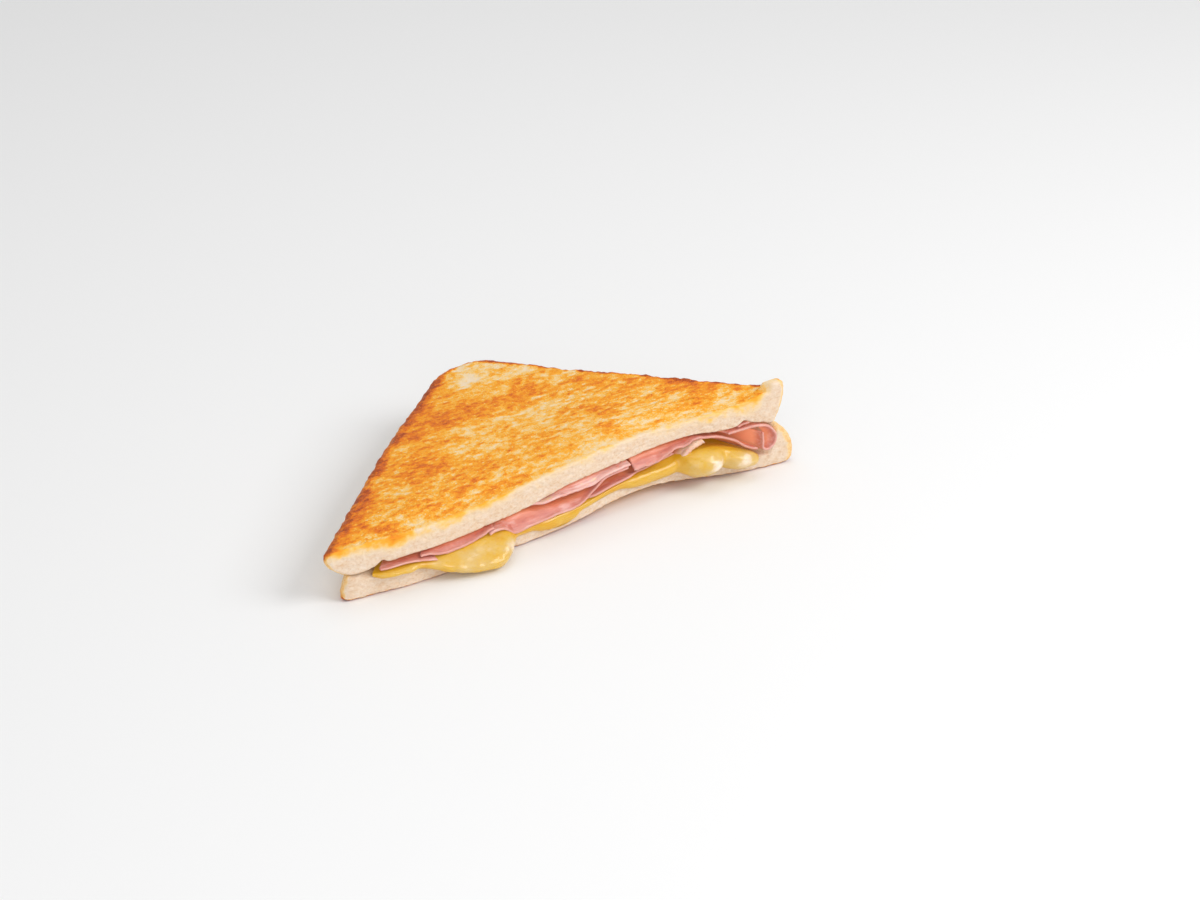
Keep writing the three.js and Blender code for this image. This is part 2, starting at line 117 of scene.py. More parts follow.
def noise(points, cell, seed):
    """Random bumps, about -1 to 1, of `cell` size: one number, or one for each axis.

    Each point takes the values at the 8 corners round it, each weighted by how near it
    is along the three axes. The weights are eased as 6t^5 - 15t^4 + 10t^3, so that no
    crease shows.
    """
    draw = np.random.default_rng(seed)
    table = draw.uniform(-LATTICE_PEAK, LATTICE_PEAK, (LATTICE,) * 3)
    turn = np.linalg.qr(draw.normal(size=(3, 3)))[0]
    place = (points / np.asarray(cell, float)) @ turn + draw.uniform(0, LATTICE, 3)
    corner = np.floor(place).astype(int)
    part = place - corner
    part = part**3 * (part * (part * 6 - 15) + 10)
    height = 0
    for step in np.ndindex(2, 2, 2):
        weight = np.where(step, part, 1 - part).prod(axis=-1)
        i, j, k = np.moveaxis((corner + step) % LATTICE, -1, 0)
        height = height + weight * table[i, j, k]
    return height


def layered(points, layers, seed=0):
    """The sum of several noises, each given as (height, size, own seed)."""
    return sum(height * noise(points, size, seed + own_seed) for height, size, own_seed in layers)


sample = noise(np.linspace(0, 90, 3000).reshape(1000, 3), 3.0, 1)
print(f"noise: from {sample.min():.2f} to {sample.max():.2f} over {len(sample)} places")

# %% [markdown]
# ## Camera
# The half is seen from its right and a little above, through a long lens, as on a
# tabletop set. The camera stands in the same frame as the shapes below, whose origin
# is the middle of the cut. `fitted` moves both to the frame's own origin, later, once
# the lower slice shows how far that is.

# %% Where the camera looks
TURN, RISE = -0.549338, 0.505379
LOOK_AT = np.array([0.0, 26.87, 10.0])
ASIDE, ABOVE, AWAY = 21.142, 3.318, 900.0
FOCAL_PIXELS, IMAGE_WIDTH, SENSOR = 2993.43, 1200.0, 36.0

back = np.array([np.sin(TURN) * np.cos(RISE), -np.cos(TURN) * np.cos(RISE), np.sin(RISE)])
right = np.array([np.cos(TURN), np.sin(TURN), 0.0])
up = np.cross(back, right)
eye = LOOK_AT + right * ASIDE + up * ABOVE + back * AWAY
print("camera, mm from the middle of the cut:", eye.round(1))

# %% [markdown]
# ## The plan of a slice: its sizes
# A slice of sandwich loaf is a square, and half of one a triangle: a straight cut, two
# crusts and one whole corner, which is round. The crust leans in towards the filling,
# and the sharp tips are a little blunt. The points run along the cut from the left tip
# to the right one, and back along the crust in as many steps, so that each point on
# the cut has a partner on the crust.

# %% Sizes of the two slices
TOP = dict(
    left=-85.0, right=75.8, corner=(1.9, 81.2), taper=(4.6, 2.4), bow=(1.1, -0.5), bulge=(0.4, 1.2),
)
BOTTOM = dict(
    left=-79.7, right=79.0, corner=(4.0, 79.6), taper=(1.2, 4.2), bow=(0.6, 0.0), bulge=(0.4, 2.4),
)
TIP_RADIUS, CORNER_RADIUS = 1.6, 17.0
CORNER_SOFT, CORNER_PASSAGE = 6.0, 16.0
BULGE_START, BULGE_OVER, BULGE_DEPTH = 16.0, 14.0, 6.0
for slice_name, plan in (("upper", TOP), ("lower", BOTTOM)):
    print(f"{slice_name} slice: {plan['right'] - plan['left']:.1f} mm along the cut")

# %% [markdown]
# ## Distance from the crust
# Much depends on how near the crust is: the browning, the seam, and where the filling
# ends. The distance from one straight line is easy, and the nearer of the two counts. A
# plain minimum has a sharp ridge that runs to the whole corner. A soft minimum rounds
# it off, as the corner of the loaf is round.

# %% How far inside the crust a place is
def inside_crust(plan, x, y):
    """Distance inside both crust lines: a soft minimum, which rounds off the corner."""
    cx, cy = plan["corner"]
    run_left, run_right = cx - plan["left"], plan["right"] - cx
    from_left = ((x - plan["left"]) * cy - y * run_left) / np.hypot(run_left, cy)
    from_right = ((plan["right"] - x) * cy - y * run_right) / np.hypot(run_right, cy)
    return -CORNER_SOFT * np.log(np.exp(-from_left / CORNER_SOFT) + np.exp(-from_right / CORNER_SOFT))


def right_share(plan, x):
    """0 on the left crust, 1 on the right one, and a smooth passage at the whole corner."""
    return smooth((x - plan["corner"][0]) / CORNER_PASSAGE + 0.5)


print(f"the middle of the half is {inside_crust(TOP, 0.0, 28.0):.1f} mm inside its crust")

# %% [markdown]
# ## Round corners and equal steps
# A plan could be a long list of points. Three corners with a radius each say the same
# in a few sizes, and they can be moved in evenly, as the leaning crust asks. Points in
# equal steps make the mesh as fine everywhere.

# %% Arcs and equal steps
def rounded(corners, radii):
    """For each corner of a triangle, a function of t that draws its arc, from 0 to 1.

    The arc's centre is on the line that halves the corner, one radius from both sides.
    """
    arcs = []
    for i, (at, radius) in enumerate(zip(corners, radii)):
        a = corners[i - 1] - at
        b = corners[(i + 1) % 3] - at
        a, b = a / np.hypot(*a), b / np.hypot(*b)
        half = np.arccos(a @ b) / 2
        centre = at + (a + b) / np.hypot(*(a + b)) * radius / np.sin(half)
        first = at + a * radius / np.tan(half) - centre
        start = np.arctan2(first[1], first[0])

        def arc(t, centre=centre, start=start, sweep=np.pi - 2 * half, radius=radius):
            """The centre, plus a radius at an angle that grows in proportion to t."""
            angle = start + sweep * np.asarray(t)
            return centre + radius * np.stack([np.cos(angle), np.sin(angle)], axis=-1)

        arcs.append(arc)
    return arcs


def resampled(path, count, closed_end=False):
    """The same path in `count` steps that are equal along its length."""
    length = np.r_[0, np.cumsum(np.hypot(*np.diff(path, axis=0).T))]
    wanted = np.linspace(0, length[-1], count + 1)
    wanted = wanted if closed_end else wanted[:-1]
    return np.stack([np.interp(wanted, length, path[:, i]) for i in (0, 1)], axis=-1)


corner_path = np.array([(0.0, 0.0), (3.0, 0.0), (3.0, 1.0)])
print("a path of 4 mm in 4 equal steps:", resampled(corner_path, 4, closed_end=True).tolist())

# %% [markdown]
# ## The outline of a slice
# Three arcs and three lines make the plan. Each half of it, the cut and the crust, is
# spread in the same number of equal steps, so that partners face each other.

# %% The outline
HALF_ROUND = 480
ARC_STEPS, CORNER_STEPS, LINE_STEPS = 30, 200, 400


def outline(plan, pull):
    """The slice's plan, with its crust pulled in by a share of the taper.

    Lines that bow out as half a sine wave join the arcs. Near the cut both tips swell
    sideways by the bulge, which fades with depth as a bell does.
    """
    lean = pull * np.sqrt(2)
    cx, cy = plan["corner"]
    corners = np.array([
        (plan["left"] + plan["taper"][0] * lean, 0),
        (plan["right"] - plan["taper"][1] * lean, 0),
        (cx, cy - np.mean(plan["taper"]) * lean),
    ])
    left_arc, right_arc, corner_arc = rounded(corners, (TIP_RADIUS, TIP_RADIUS, CORNER_RADIUS))

    def line(a, b, bow=0.0):
        """From a to b in equal steps, pushed outwards as half a sine wave."""
        t = np.linspace(0, 1, LINE_STEPS)[:, None]
        out = np.array([(b - a)[1], -(b - a)[0]]) / np.hypot(*(b - a))
        return mix(a, b, t) + out * bow * np.sin(np.pi * t)

    early, late = np.linspace(0, 0.5, ARC_STEPS), np.linspace(0.5, 1, ARC_STEPS)
    whole = np.linspace(0, 1, CORNER_STEPS)
    cut = np.concatenate([left_arc(late), line(left_arc(1), right_arc(0)), right_arc(early)])
    crust = np.concatenate([
        right_arc(late), line(right_arc(1), corner_arc(0), plan["bow"][1]), corner_arc(whole),
        line(corner_arc(1), left_arc(0), plan["bow"][0]), left_arc(early),
    ])
    points = np.concatenate([resampled(cut, HALF_ROUND), resampled(crust, HALF_ROUND)])
    x, y = points.T.copy()
    near_cut = np.exp(-((y / BULGE_DEPTH) ** 2))
    points[:, 0] += plan["bulge"][1] * near_cut * smooth((x - plan["right"] + BULGE_START) / BULGE_OVER)
    points[:, 0] -= plan["bulge"][0] * near_cut * smooth((plan["left"] + BULGE_START - x) / BULGE_OVER)
    return points


print("points round a slice:", len(outline(TOP, 0.0)))

# %% [markdown]
# ## Heights
# The upper face is a plane that climbs to the right and droops to the cut. Between the
# slices the filling sets the heights: they follow it closely at the cut, turn simple
# further in, and close on each other at the crust. The filling's lines run together
# towards a point behind the whole corner, like the ribs of a fan.

# %% Sizes of the heights
TOP_HEIGHT, TOP_CLIMB, DROOP_DEPTH = 21.8, 0.0563, 7.0
WAVE_HEIGHT, WAVE_LENGTHS, WAVE_STARTS = 0.35, (11.0, 9.0), (0.7, 0.4)
EAR = dict(start=64.4, over=2.6, height=2.7, width=4.8, edge=1.2, depth=3.8, step=1.4)
LOWER_CRUST, LOWER_CRUST_CLIMB, LOWER_CRUST_BOW = 9.3, 0.0468, 0.00027
UPPER_CRUST, UPPER_CRUST_CLIMB = 11.9, 0.0418
UPPER_DEEP, UPPER_DEEP_CLIMB = 13.4, 0.05
LOWER_DEEP, LOWER_DEEP_CLIMB = 6.2, 0.01
PRESSED_GAP, PRESSED_WIDTH = 0.2, 2.4
CRUST_BAND = (3.0, 6.4)
FAN_X, FAN_Y, DEEP = 2.0, 82.0, 16.0
FILL_MARGIN, FILL_DEPTH, FILL_LEAST = 4.0, 68.0, 0.9
DENTS = ((-65.6, 2.0, 1.5), (61.4, 2.6, 1.9))
LIFT = dict(at=24.0, reach=24.0, height=3.4, depth=8.0)
FILM_DEEP, FILM_ROOM = 1.9, 4.5
print(f"the upper face climbs {TOP_CLIMB * (TOP['right'] - TOP['left']):.1f} mm from tip to tip")

# %% [markdown]
# ## Heights along the cut
# At the cut every layer shows, so its height there is drawn as a curve through
# stations (along the cut, height). These four carry the look of the whole side.

# %% Curves at the cut
droop = through((-84, 0.5), (-50, 1.5), (-25, 1.6), (-2, 0.6), (12, 0.6), (38, 2.0), (60, 1.3), (70, 0))
upper_at_cut = through(
    (-80, 8.6), (-72, 8.1), (-58, 9.9), (-42, 9.9), (-18, 11.5), (0, 14.7),
    (20, 15.4), (42, 16.8), (53, 15.9), (66, 15.9), (73, 15.0),
)
lower_at_cut = through(
    (-78, 7.0), (-66, 6.2), (-55, 6.0), (-40, 4.6), (-20, 4.2), (0, 4.8),
    (14, 6.9), (36, 7.0), (50, 6.4), (62, 4.7), (70, 4.4),
)
cheese_at_cut = through(
    (-70, 8.0), (-64, 7.9), (-56, 8.0), (-46, 6.7), (-34, 6.8), (-26, 8.3), (-20, 5.7), (-8, 6.3), (0, 6.4),
    (8, 7.4), (16, 8.6), (28, 9.0), (36, 10.8), (45, 12.2), (56, 10.4), (64, 6.4), (69, 5.6),
)
print("bread, cheese and bread at the middle of the cut, mm:",
      *(round(float(curve(0.0)), 1) for curve in (lower_at_cut, cheese_at_cut, upper_at_cut)))

# %% [markdown]
# ## The filling's fan
# What is drawn at the cut has to go on inside. Layers that ran straight back would poke
# out of the crusts, because the half gets narrower, so each line of the filling runs
# towards one point behind the whole corner.

# %% To and fro along the fan
def fan_x(x, y):
    """Where the fan's line through (x, y) meets the cut: away from the middle, more so deeper in."""
    return FAN_X + (x - FAN_X) / (1 - y / FAN_Y)


def squeezed_x(x, y):
    """Back along that line, from the cut to depth y: towards the middle in proportion."""
    return FAN_X + (x - FAN_X) * (1 - np.maximum(0, y) / FAN_Y)


print("a line that starts 60 mm right runs, 40 mm in, at", round(float(squeezed_x(60.0, 40.0)), 1))

# %% [markdown]
# ## The outer faces
# The upper face could be a flat plate, but a pan's weight presses it unevenly. It is a
# plane plus a few terms: it sags at the cut, waves a little, and rises at the right tip,
# where the crust was pinched up. The lower slice lies flat, and lifts along the middle
# of the cut.

# %% Upper and lower face
def ear_share(x, y):
    """1 on the pinched-up crust at the right tip: near the cut and near the crust."""
    at_tip = smooth((x - EAR["start"]) / EAR["over"]) * smooth((EAR["depth"] - y) / EAR["step"])
    return at_tip * smooth((EAR["width"] - inside_crust(TOP, x, y)) / EAR["edge"])


def top_face(x, y):
    """The plane, less its droop at the cut, plus the pinched-up crust at the right tip.

    The waves are the product of one sine along the cut and one across it.
    """
    sag = droop(x) * np.exp(-((y / DROOP_DEPTH) ** 2))
    along, across = np.sin(x / WAVE_LENGTHS[0] + WAVE_STARTS[0]), np.sin(y / WAVE_LENGTHS[1] + WAVE_STARTS[1])
    return TOP_HEIGHT + TOP_CLIMB * x - sag + EAR["height"] * ear_share(x, y) + WAVE_HEIGHT * along * across


def lower_face(x, y):
    """Underside of the whole: flat, but lifted as a bell along the middle of the cut."""
    return LIFT["height"] * bell(x, LIFT["at"], LIFT["reach"]) * np.exp(-((y / LIFT["depth"]) ** 2))


for tip in ("left", "right"):
    print(f"upper face at the {tip} tip: {top_face(TOP[tip], 1.0):.1f} mm high")

# %% [markdown]
# ## The inner faces
# Inside, the slices take the filling's shape. Each inner face is a blend of three
# heights: the one drawn at the cut, a plain one further in, and the crust's rim. So the
# bread is dented where the filling is thick, and level where it is baked hard.

# %% Inner faces and the cheese's lid
def crust_share(plan, x, y):
    """1 on the hard crust, 0 well inside it, by the distance from the crust."""
    full, none = CRUST_BAND
    return smooth((none - inside_crust(plan, x, y)) / (none - full))


def lower_rim(x):
    """Height of the lower crust's inner edge: a line with a slight bow."""
    return LOWER_CRUST + LOWER_CRUST_CLIMB * x + LOWER_CRUST_BOW * x * x


def upper_rim(x):
    """Height of the upper crust's inner edge: a straight line."""
    return UPPER_CRUST + UPPER_CRUST_CLIMB * x


def upper_inner(x, y):
    """Underside of the upper slice: dented by the filling, level at the crust."""
    fx = fan_x(x, y)
    dents = sum(depth * bell(fx, at, reach) for at, reach, depth in DENTS)
    inside = mix(upper_at_cut(fx) + dents, UPPER_DEEP + UPPER_DEEP_CLIMB * fx, clamp(y / DEEP))
    return mix(inside, upper_rim(x), crust_share(TOP, x, y))


def lower_inner(x, y):
    """Upper face of the lower slice, pressed down inside its crust."""
    fx = fan_x(x, y)
    inside = mix(lower_at_cut(fx), LOWER_DEEP + LOWER_DEEP_CLIMB * fx, clamp(y / DEEP))
    return mix(inside, lower_rim(x), crust_share(BOTTOM, x, y))


def cheese_top(x, y):
    """A film of cheese over the lower slice, which thins out where the slices meet."""
    fx = fan_x(x, y)
    film = mix(cheese_at_cut(fx) - lower_at_cut(fx), FILM_DEEP, clamp(y / DEEP))
    return lower_inner(x, y) + film * clamp((upper_inner(x, y) - lower_inner(x, y)) / FILM_ROOM)


print("room between the slices, 20 mm in, mm:",
      round(float(upper_inner(0.0, 20.0) - lower_inner(0.0, 20.0)), 1))

# %% [markdown]
# ## The seam at the crust
# The two crusts are pressed on each other all round, and a seam is all that shows from
# behind. Both inner faces could stop at their own rims, but then a gap would gape. Along
# the inner edge of the crust they are drawn to one height between the rims instead,
# with a fine gap between them.

# %% Where the slices are pressed together
def pressed_share(plan, x, y):
    """1 along the inner edge of a crust, and less with the distance inside it."""
    lean = mix(*plan["taper"], right_share(plan, x))
    return smooth((PRESSED_WIDTH + lean - inside_crust(plan, x, y)) / PRESSED_WIDTH)


def upper_underside(x, y):
    """The upper inner face, drawn down to half a gap above the seam at the crust."""
    pressed = (lower_rim(x) + upper_rim(x) + PRESSED_GAP) / 2
    return mix(upper_inner(x, y), np.minimum(pressed, upper_rim(x)), pressed_share(TOP, x, y))


def lower_upside(x, y):
    """The lower inner face, drawn up to half a gap below the seam at the crust."""
    pressed = (lower_rim(x) + upper_rim(x) - PRESSED_GAP) / 2
    return mix(lower_inner(x, y), np.maximum(pressed, lower_rim(x)), pressed_share(BOTTOM, x, y))


print("seam at the whole corner, mm:", round(float(lower_upside(*BOTTOM["corner"])), 1))

# %% [markdown]
# ## The bend of the cut
# The knife's cut isn't quite straight. All shapes are made with a straight one, because
# that keeps their formulas short, and one function bends the finished points. Every
# piece goes through it, so that they still fit each other.

# %% Sway
SWAY = ((-55.0, 24.0, -2.9), (34.0, 30.0, 4.8))
SWAY_DEPTH = 22.0


def swayed(points):
    """Bends the straight cut into its slow S: each bell moves points back or forwards.

    The bend fades with depth, also as a bell.
    """
    x, y, _ = np.moveaxis(points, -1, 0)
    shift = sum(back_by * bell(x, at, reach) for at, reach, back_by in SWAY)
    bent = points.copy()
    bent[..., 1] += shift * np.exp(-((np.maximum(0, y) / SWAY_DEPTH) ** 2))
    return bent


for at, reach, back_by in SWAY:
    print(f"the cut is moved by {back_by:+.1f} mm at {at:.0f} mm")

# %% [markdown]
# ## Grids, faces and normals
# Sculpting or a stack of modifiers could make soft food too, but a formula gives the
# same shape each time and says why it is so. A surface here is a grid of points: rows
# that follow each other, each an array of places.

# %% Faces and normals of a grid
def grid_faces(rows, columns, wrap=True):
    """Quads between the rows of a grid, whose columns close to a loop if they wrap."""
    here = np.arange(rows * columns).reshape(rows, columns)
    if not wrap:
        corners = (here[:-1, :-1], here[1:, :-1], here[1:, 1:], here[:-1, 1:])
    else:
        across = np.roll(here, -1, axis=1)
        corners = (here[:-1], here[1:], across[1:], across[:-1])
    return np.stack(corners, axis=-1).reshape(-1, 4)


def normals_of(grid, wrap=True):
    """Unit normals of a grid: the cross product of its two directions."""
    if wrap:
        along = np.roll(grid, -1, axis=1) - np.roll(grid, 1, axis=1)
    else:
        along = np.gradient(grid, axis=1)
    normal = np.cross(np.gradient(grid, axis=0), along)
    return normal / np.maximum(np.linalg.norm(normal, axis=-1, keepdims=True), 1e-9)


print("a closed tube of 3 rows of 4 points has", len(grid_faces(3, 4)), "faces")

# %% [markdown]
# ## From arrays to a mesh
# Blender takes whole arrays through `foreach_set`, so no loop runs over the vertices.
# Faces have to point outwards. The sign of the volume inside them tells whether they
# do, and if it is below zero, every face is turned over. Marks are numbers on the
# points that a material can read.

# %% The mesh of a piece
CM3_IN_MM3 = 0.001


def volume_of(points, faces):
    """A sixth of the sum, over all triangles, of corner a times the cross of b and c."""
    fans = [f[:, (0, i, i + 1)] for f in faces for i in range(1, f.shape[1] - 1)]
    a, b, c = np.moveaxis(points[np.concatenate(fans)], 1, 0)
    return np.einsum("ij,ij->", a, np.cross(b, c)) / 6


def mesh_piece(name, points, faces, material, marks=None):
    """An object from points in millimetres and a list of face arrays (3 or 4 wide)."""
    volume = volume_of(points, faces)
    if volume < 0:
        faces = [f[:, ::-1] for f in faces]
    mesh = bpy.data.meshes.new(name)
    mesh.vertices.add(len(points))
    mesh.vertices.foreach_set("co", (points * MM).astype(np.float32).ravel())
    corners = np.concatenate([f.ravel() for f in faces]).astype(np.int32)
    sides = np.concatenate([np.full(len(f), f.shape[1]) for f in faces])
    mesh.loops.add(len(corners))
    mesh.loops.foreach_set("vertex_index", corners)
    mesh.polygons.add(len(sides))
    mesh.polygons.foreach_set("loop_start", np.r_[0, np.cumsum(sides)[:-1]].astype(np.int32))
    mesh.update(calc_edges=True)
    mesh.validate()
    mesh.shade_smooth()
    for mark_name, values in (marks or {}).items():
        made = mesh.attributes.new(mark_name, "FLOAT", "POINT")
        made.data.foreach_set("value", values.astype(np.float32).ravel())
    mesh.materials.append(material)
    piece = bpy.data.objects.new(name, mesh)
    bpy.context.collection.objects.link(piece)
    triangles = int((sides - 2).sum())
    print(f"{name}: {len(points)} points, {triangles} triangles, {abs(volume) * CM3_IN_MM3:.2f} cm3")
    return piece


# %% [markdown]
# ## Colours
# Colours are given as a painter would read them off, from 0 to 255, and turned into
# the linear values that the renderer mixes. They are a little darker than they look,
# because the light on the set is a little brighter than white.

# %% Painter's colours
LIGHT_LEVEL = 1.12


def colour(red, green, blue):
    """The screen's curve undone (a power of 2.4, straight near black), over the light level."""
    value = np.array([red, green, blue]) / 255
    linear = np.where(value <= 0.04045, value / 12.92, ((value + 0.055) / 1.055) ** 2.4)
    return (*(linear / LIGHT_LEVEL), 1.0)


print("white bread, as the renderer mixes it:", np.round(colour(246, 229, 211)[:3], 2))

# %% [markdown]
# ## Nodes
# Node trees can be drawn by hand in the shader editor. In a script, one line for each
# node and link gets long, so `put` makes a node and fills its inputs at once, and sums
# and mixes have a short name of their own.

# %% Nodes in few words
def put(tree, kind, sockets=(), **settings):
    """A node with its settings, and its inputs, by name or number, set or joined."""
    made = tree.nodes.new(kind)
    for key, value in settings.items():
        setattr(made, key, value)
    for key, value in dict(sockets).items():
        if isinstance(value, bpy.types.NodeSocket):
            tree.links.new(value, made.inputs[key])
        else:
            made.inputs[key].default_value = value
    return made


def maths(tree, operation, *values, clamped=False):
    """The result of one sum, product or other operation on its values."""
    made = put(tree, "ShaderNodeMath", enumerate(values), operation=operation, use_clamp=clamped)
    return made.outputs[0]


def total(tree, *values, clamped=False):
    """The sum of all values, which is clamped to 0 to 1 at the end if asked."""
    first, *others = values
    for i, value in enumerate(others, 1):
        first = maths(tree, "ADD", first, value, clamped=clamped and i == len(others))
    return first


def blended(tree, factor, first, second):
    """The first colour where the factor is 0, the second where it is 1.

    A Mix node has inputs for numbers, places and colours. Its colours are numbers 6 and 7.
    """
    made = put(tree, "ShaderNodeMix", {0: factor, 6: first, 7: second}, data_type="RGBA")
    return made.outputs[2]


print("makers of nodes:", ", ".join(helper.__name__ for helper in (put, maths, total, blended)))

# %% [markdown]
# ## Ramps, marks and bumps
# Three kinds of node come back in every food. A ramp turns one number into a row of
# tones, a mark brings a piece's own values into its material, and bumps lean the normal
# where the mesh is too coarse for a relief.

# %% Ramps, marks and bumps
def ramp(tree, factor, tones):
    """A colour ramp through tones (place, red, green, blue), in proportion between two."""
    made = put(tree, "ShaderNodeValToRGB", {0: factor})
    elements = made.color_ramp.elements
    while len(elements) < len(tones):
        elements.new(1.0)
    for element, (at, *tone) in zip(elements, tones):
        element.position, element.color = at, colour(*tone)
    return made.outputs[0]


def mark(tree, name):
    """The values that a piece's points carry under this name."""
    return put(tree, "ShaderNodeAttribute", attribute_name=name).outputs["Fac"]


def bumps(tree, height, strength, depth):
    """A normal that leans as the slope of the height does. The depth is in metres."""
    made = put(tree, "ShaderNodeBump", {"Height": height, "Strength": strength, "Distance": depth})
    return made.outputs[0]


print("and of what comes back often:", ", ".join(helper.__name__ for helper in (ramp, mark, bumps)))

# %% [markdown]
# ## Start and end of a material
# Every finish here is one Principled shader, because bread, cheese and ham differ in
# their values and not in their kind: all scatter light inside, and have a dull or wet
# surface. So the ends of a material are the same each time.

# %% A new material and its shader
def new_material(name):
    """A material with an empty node tree, and that tree."""
    material = bpy.data.materials.new(name)
    material.use_nodes = True
    material.node_tree.nodes.clear()
    return material, material.node_tree


def finish_material(tree, **sockets):
    """The Principled shader, straight into the output. Its inputs are named with _ for a space."""
    names = {key.replace("_", " ").title().replace("Ior", "IOR"): value for key, value in sockets.items()}
    shader = put(tree, "ShaderNodeBsdfPrincipled", names)
    put(tree, "ShaderNodeOutputMaterial", {"Surface": shader.outputs[0]})


print("materials so far:", len(bpy.data.materials))

# %% [markdown]
# ## Mottle: one effect for every food here
# Toast, crumb, cheese and ham are all mottled, each at its own scale and with its own
# grain. One node group makes the mottle, and each material stretches it to suit.

# %% The mottle group
MOTTLE_ROUGHNESS = 0.55
MOTTLE_INPUTS = (
    ("Vector", "NodeSocketVector", (0, 0, 0)), ("Stretch", "NodeSocketVector", (1, 1, 1)),
    ("Scale", "NodeSocketFloat", 1000.0), ("Detail", "NodeSocketFloat", 3.0),
    ("Contrast", "NodeSocketFloat", 1.0),
)


def mottle_group():
    """A noise texture on the stretched place, less its middle value, times the contrast."""
    group = bpy.data.node_groups.new("Mottle", "ShaderNodeTree")
    for name, kind, value in MOTTLE_INPUTS:
        group.interface.new_socket(name, in_out="INPUT", socket_type=kind).default_value = value
    group.interface.new_socket("Value", in_out="OUTPUT", socket_type="NodeSocketFloat")
    given = group.nodes.new("NodeGroupInput").outputs
    ends = {0: given["Vector"], 1: given["Stretch"]}
    place = put(group, "ShaderNodeVectorMath", ends, operation="MULTIPLY")
    texture = put(group, "ShaderNodeTexNoise", {
        "Vector": place.outputs[0], "Scale": given["Scale"], "Detail": given["Detail"],
        "Roughness": MOTTLE_ROUGHNESS,
    })
    centred = maths(group, "SUBTRACT", texture.outputs[0], 0.5)
    spread = maths(group, "MULTIPLY", centred, given["Contrast"])
    put(group, "NodeGroupOutput", {"Value": spread})
    return group


MOTTLE = mottle_group()
print("Mottle takes", ", ".join(name for name, _, _ in MOTTLE_INPUTS))


def mottle(tree, stretch, scale, contrast, detail=3.0):
    """Mottle about zero, of 1/scale metres, shrunk by `stretch` along each axis."""
    place = put(tree, "ShaderNodeTexCoord").outputs["Object"]
    return put(tree, "ShaderNodeGroup", {
        "Vector": place, "Stretch": stretch, "Scale": scale, "Detail": detail, "Contrast": contrast,
    }, node_tree=MOTTLE).outputs[0]


# %% [markdown]
# ## Bread: its colours
# The pan browns what it touches. One mark on the surface, `brown`, says how far that
# went, from pale crumb to a dark rim, and a ramp turns it into colour. Two colours
# mixed by one factor would miss the yellow and the orange in between. `cut` marks the
# knife's face, where the open crumb shows, and `crust` the baked skin of the loaf.

# %% Tones and grain of bread
TOAST_TONES = (
    # how brown, then red, green and blue
    (0.0, 245, 222, 190), (0.14, 248, 218, 168), (0.27, 251, 205, 124), (0.40, 253, 182, 57),
    (0.54, 249, 157, 32), (0.70, 235, 125, 24), (0.85, 214, 104, 28), (1.0, 172, 74, 26),
)
CRUMB_TONES = ((0.0, 222, 182, 142), (0.4, 235, 208, 180), (1.0, 246, 229, 211))
SKIN_TONES = ((0.0, 252, 230, 192), (0.35, 249, 212, 156), (0.7, 232, 164, 88), (1.0, 172, 90, 38))
PORE_SHADE_TONE = (210, 166, 122)
GRAIN_ON_CUT, GLINT_LEVEL, GLINT_SHARE = 0.15, 0.85, 0.28
PORE_SHADE_LEVEL, PORE_SHADE_SHARE = 0.8, 0.4
SKIN_BROWN, BARE_BELOW = 0.15, 0.25
DRY_ROUGHNESS, IRONED_SMOOTHER, WRINKLE_SHARE = 0.85, 0.45, 0.35


def toast_grain(tree):
    """Streaks plus fine grain, less a share of painted glints, pale peaks of a third mottle."""
    streaks = mottle(tree, (0.55, 1.0, 1.0), 800.0, 0.6)
    grain = mottle(tree, (0.8, 1.0, 1.0), 2400.0, 0.6)
    peaks = mottle(tree, (0.7, 1.0, 1.0), 1700.0, 7.0, detail=1.0)
    # painted glints: where the third mottle peaks, the toast is made paler, standing for highlights
    painted_glints = maths(tree, "SUBTRACT", peaks, GLINT_LEVEL, clamped=True)
    return maths(tree, "SUBTRACT", total(tree, streaks, grain), maths(tree, "MULTIPLY", painted_glints, GLINT_SHARE))


def crumb_finish(tree):
    """The crumb's colour, from blotches and wrinkles with the painted shade of pores as darker spots, and the
    wrinkles.
    """
    wrinkles = mottle(tree, (0.8, 1.0, 1.2), 1500.0, 1.1)
    blotches = mottle(tree, (0.8, 1.0, 1.2), 520.0, 1.1)
    crumb = ramp(tree, total(tree, wrinkles, blotches, 0.5, clamped=True), CRUMB_TONES)
    # painted shade: darker spots on the crumb stand for the shade inside its pores
    peaks = mottle(tree, (1.0, 1.0, 1.3), 1000.0, 7.0, detail=1.0)
    painted_pore_shade = maths(tree, "SUBTRACT", peaks, PORE_SHADE_LEVEL, clamped=True)
    return blended(tree, maths(tree, "MULTIPLY", painted_pore_shade, PORE_SHADE_SHARE), crumb, colour(*PORE_SHADE_TONE)), wrinkles


print(len(TOAST_TONES), "tones from pale to dark toast")

# %% [markdown]
# ## Bread: the material
# Toast, crumb and skin are three finishes of one slice. Three materials would meet in
# hard lines along the faces of the mesh, so one material blends them by the marks. Fine
# mottle takes over where the mesh is too coarse, in the colour and in the bumps. Browner
# toast is also smoother, because the pan has ironed it.

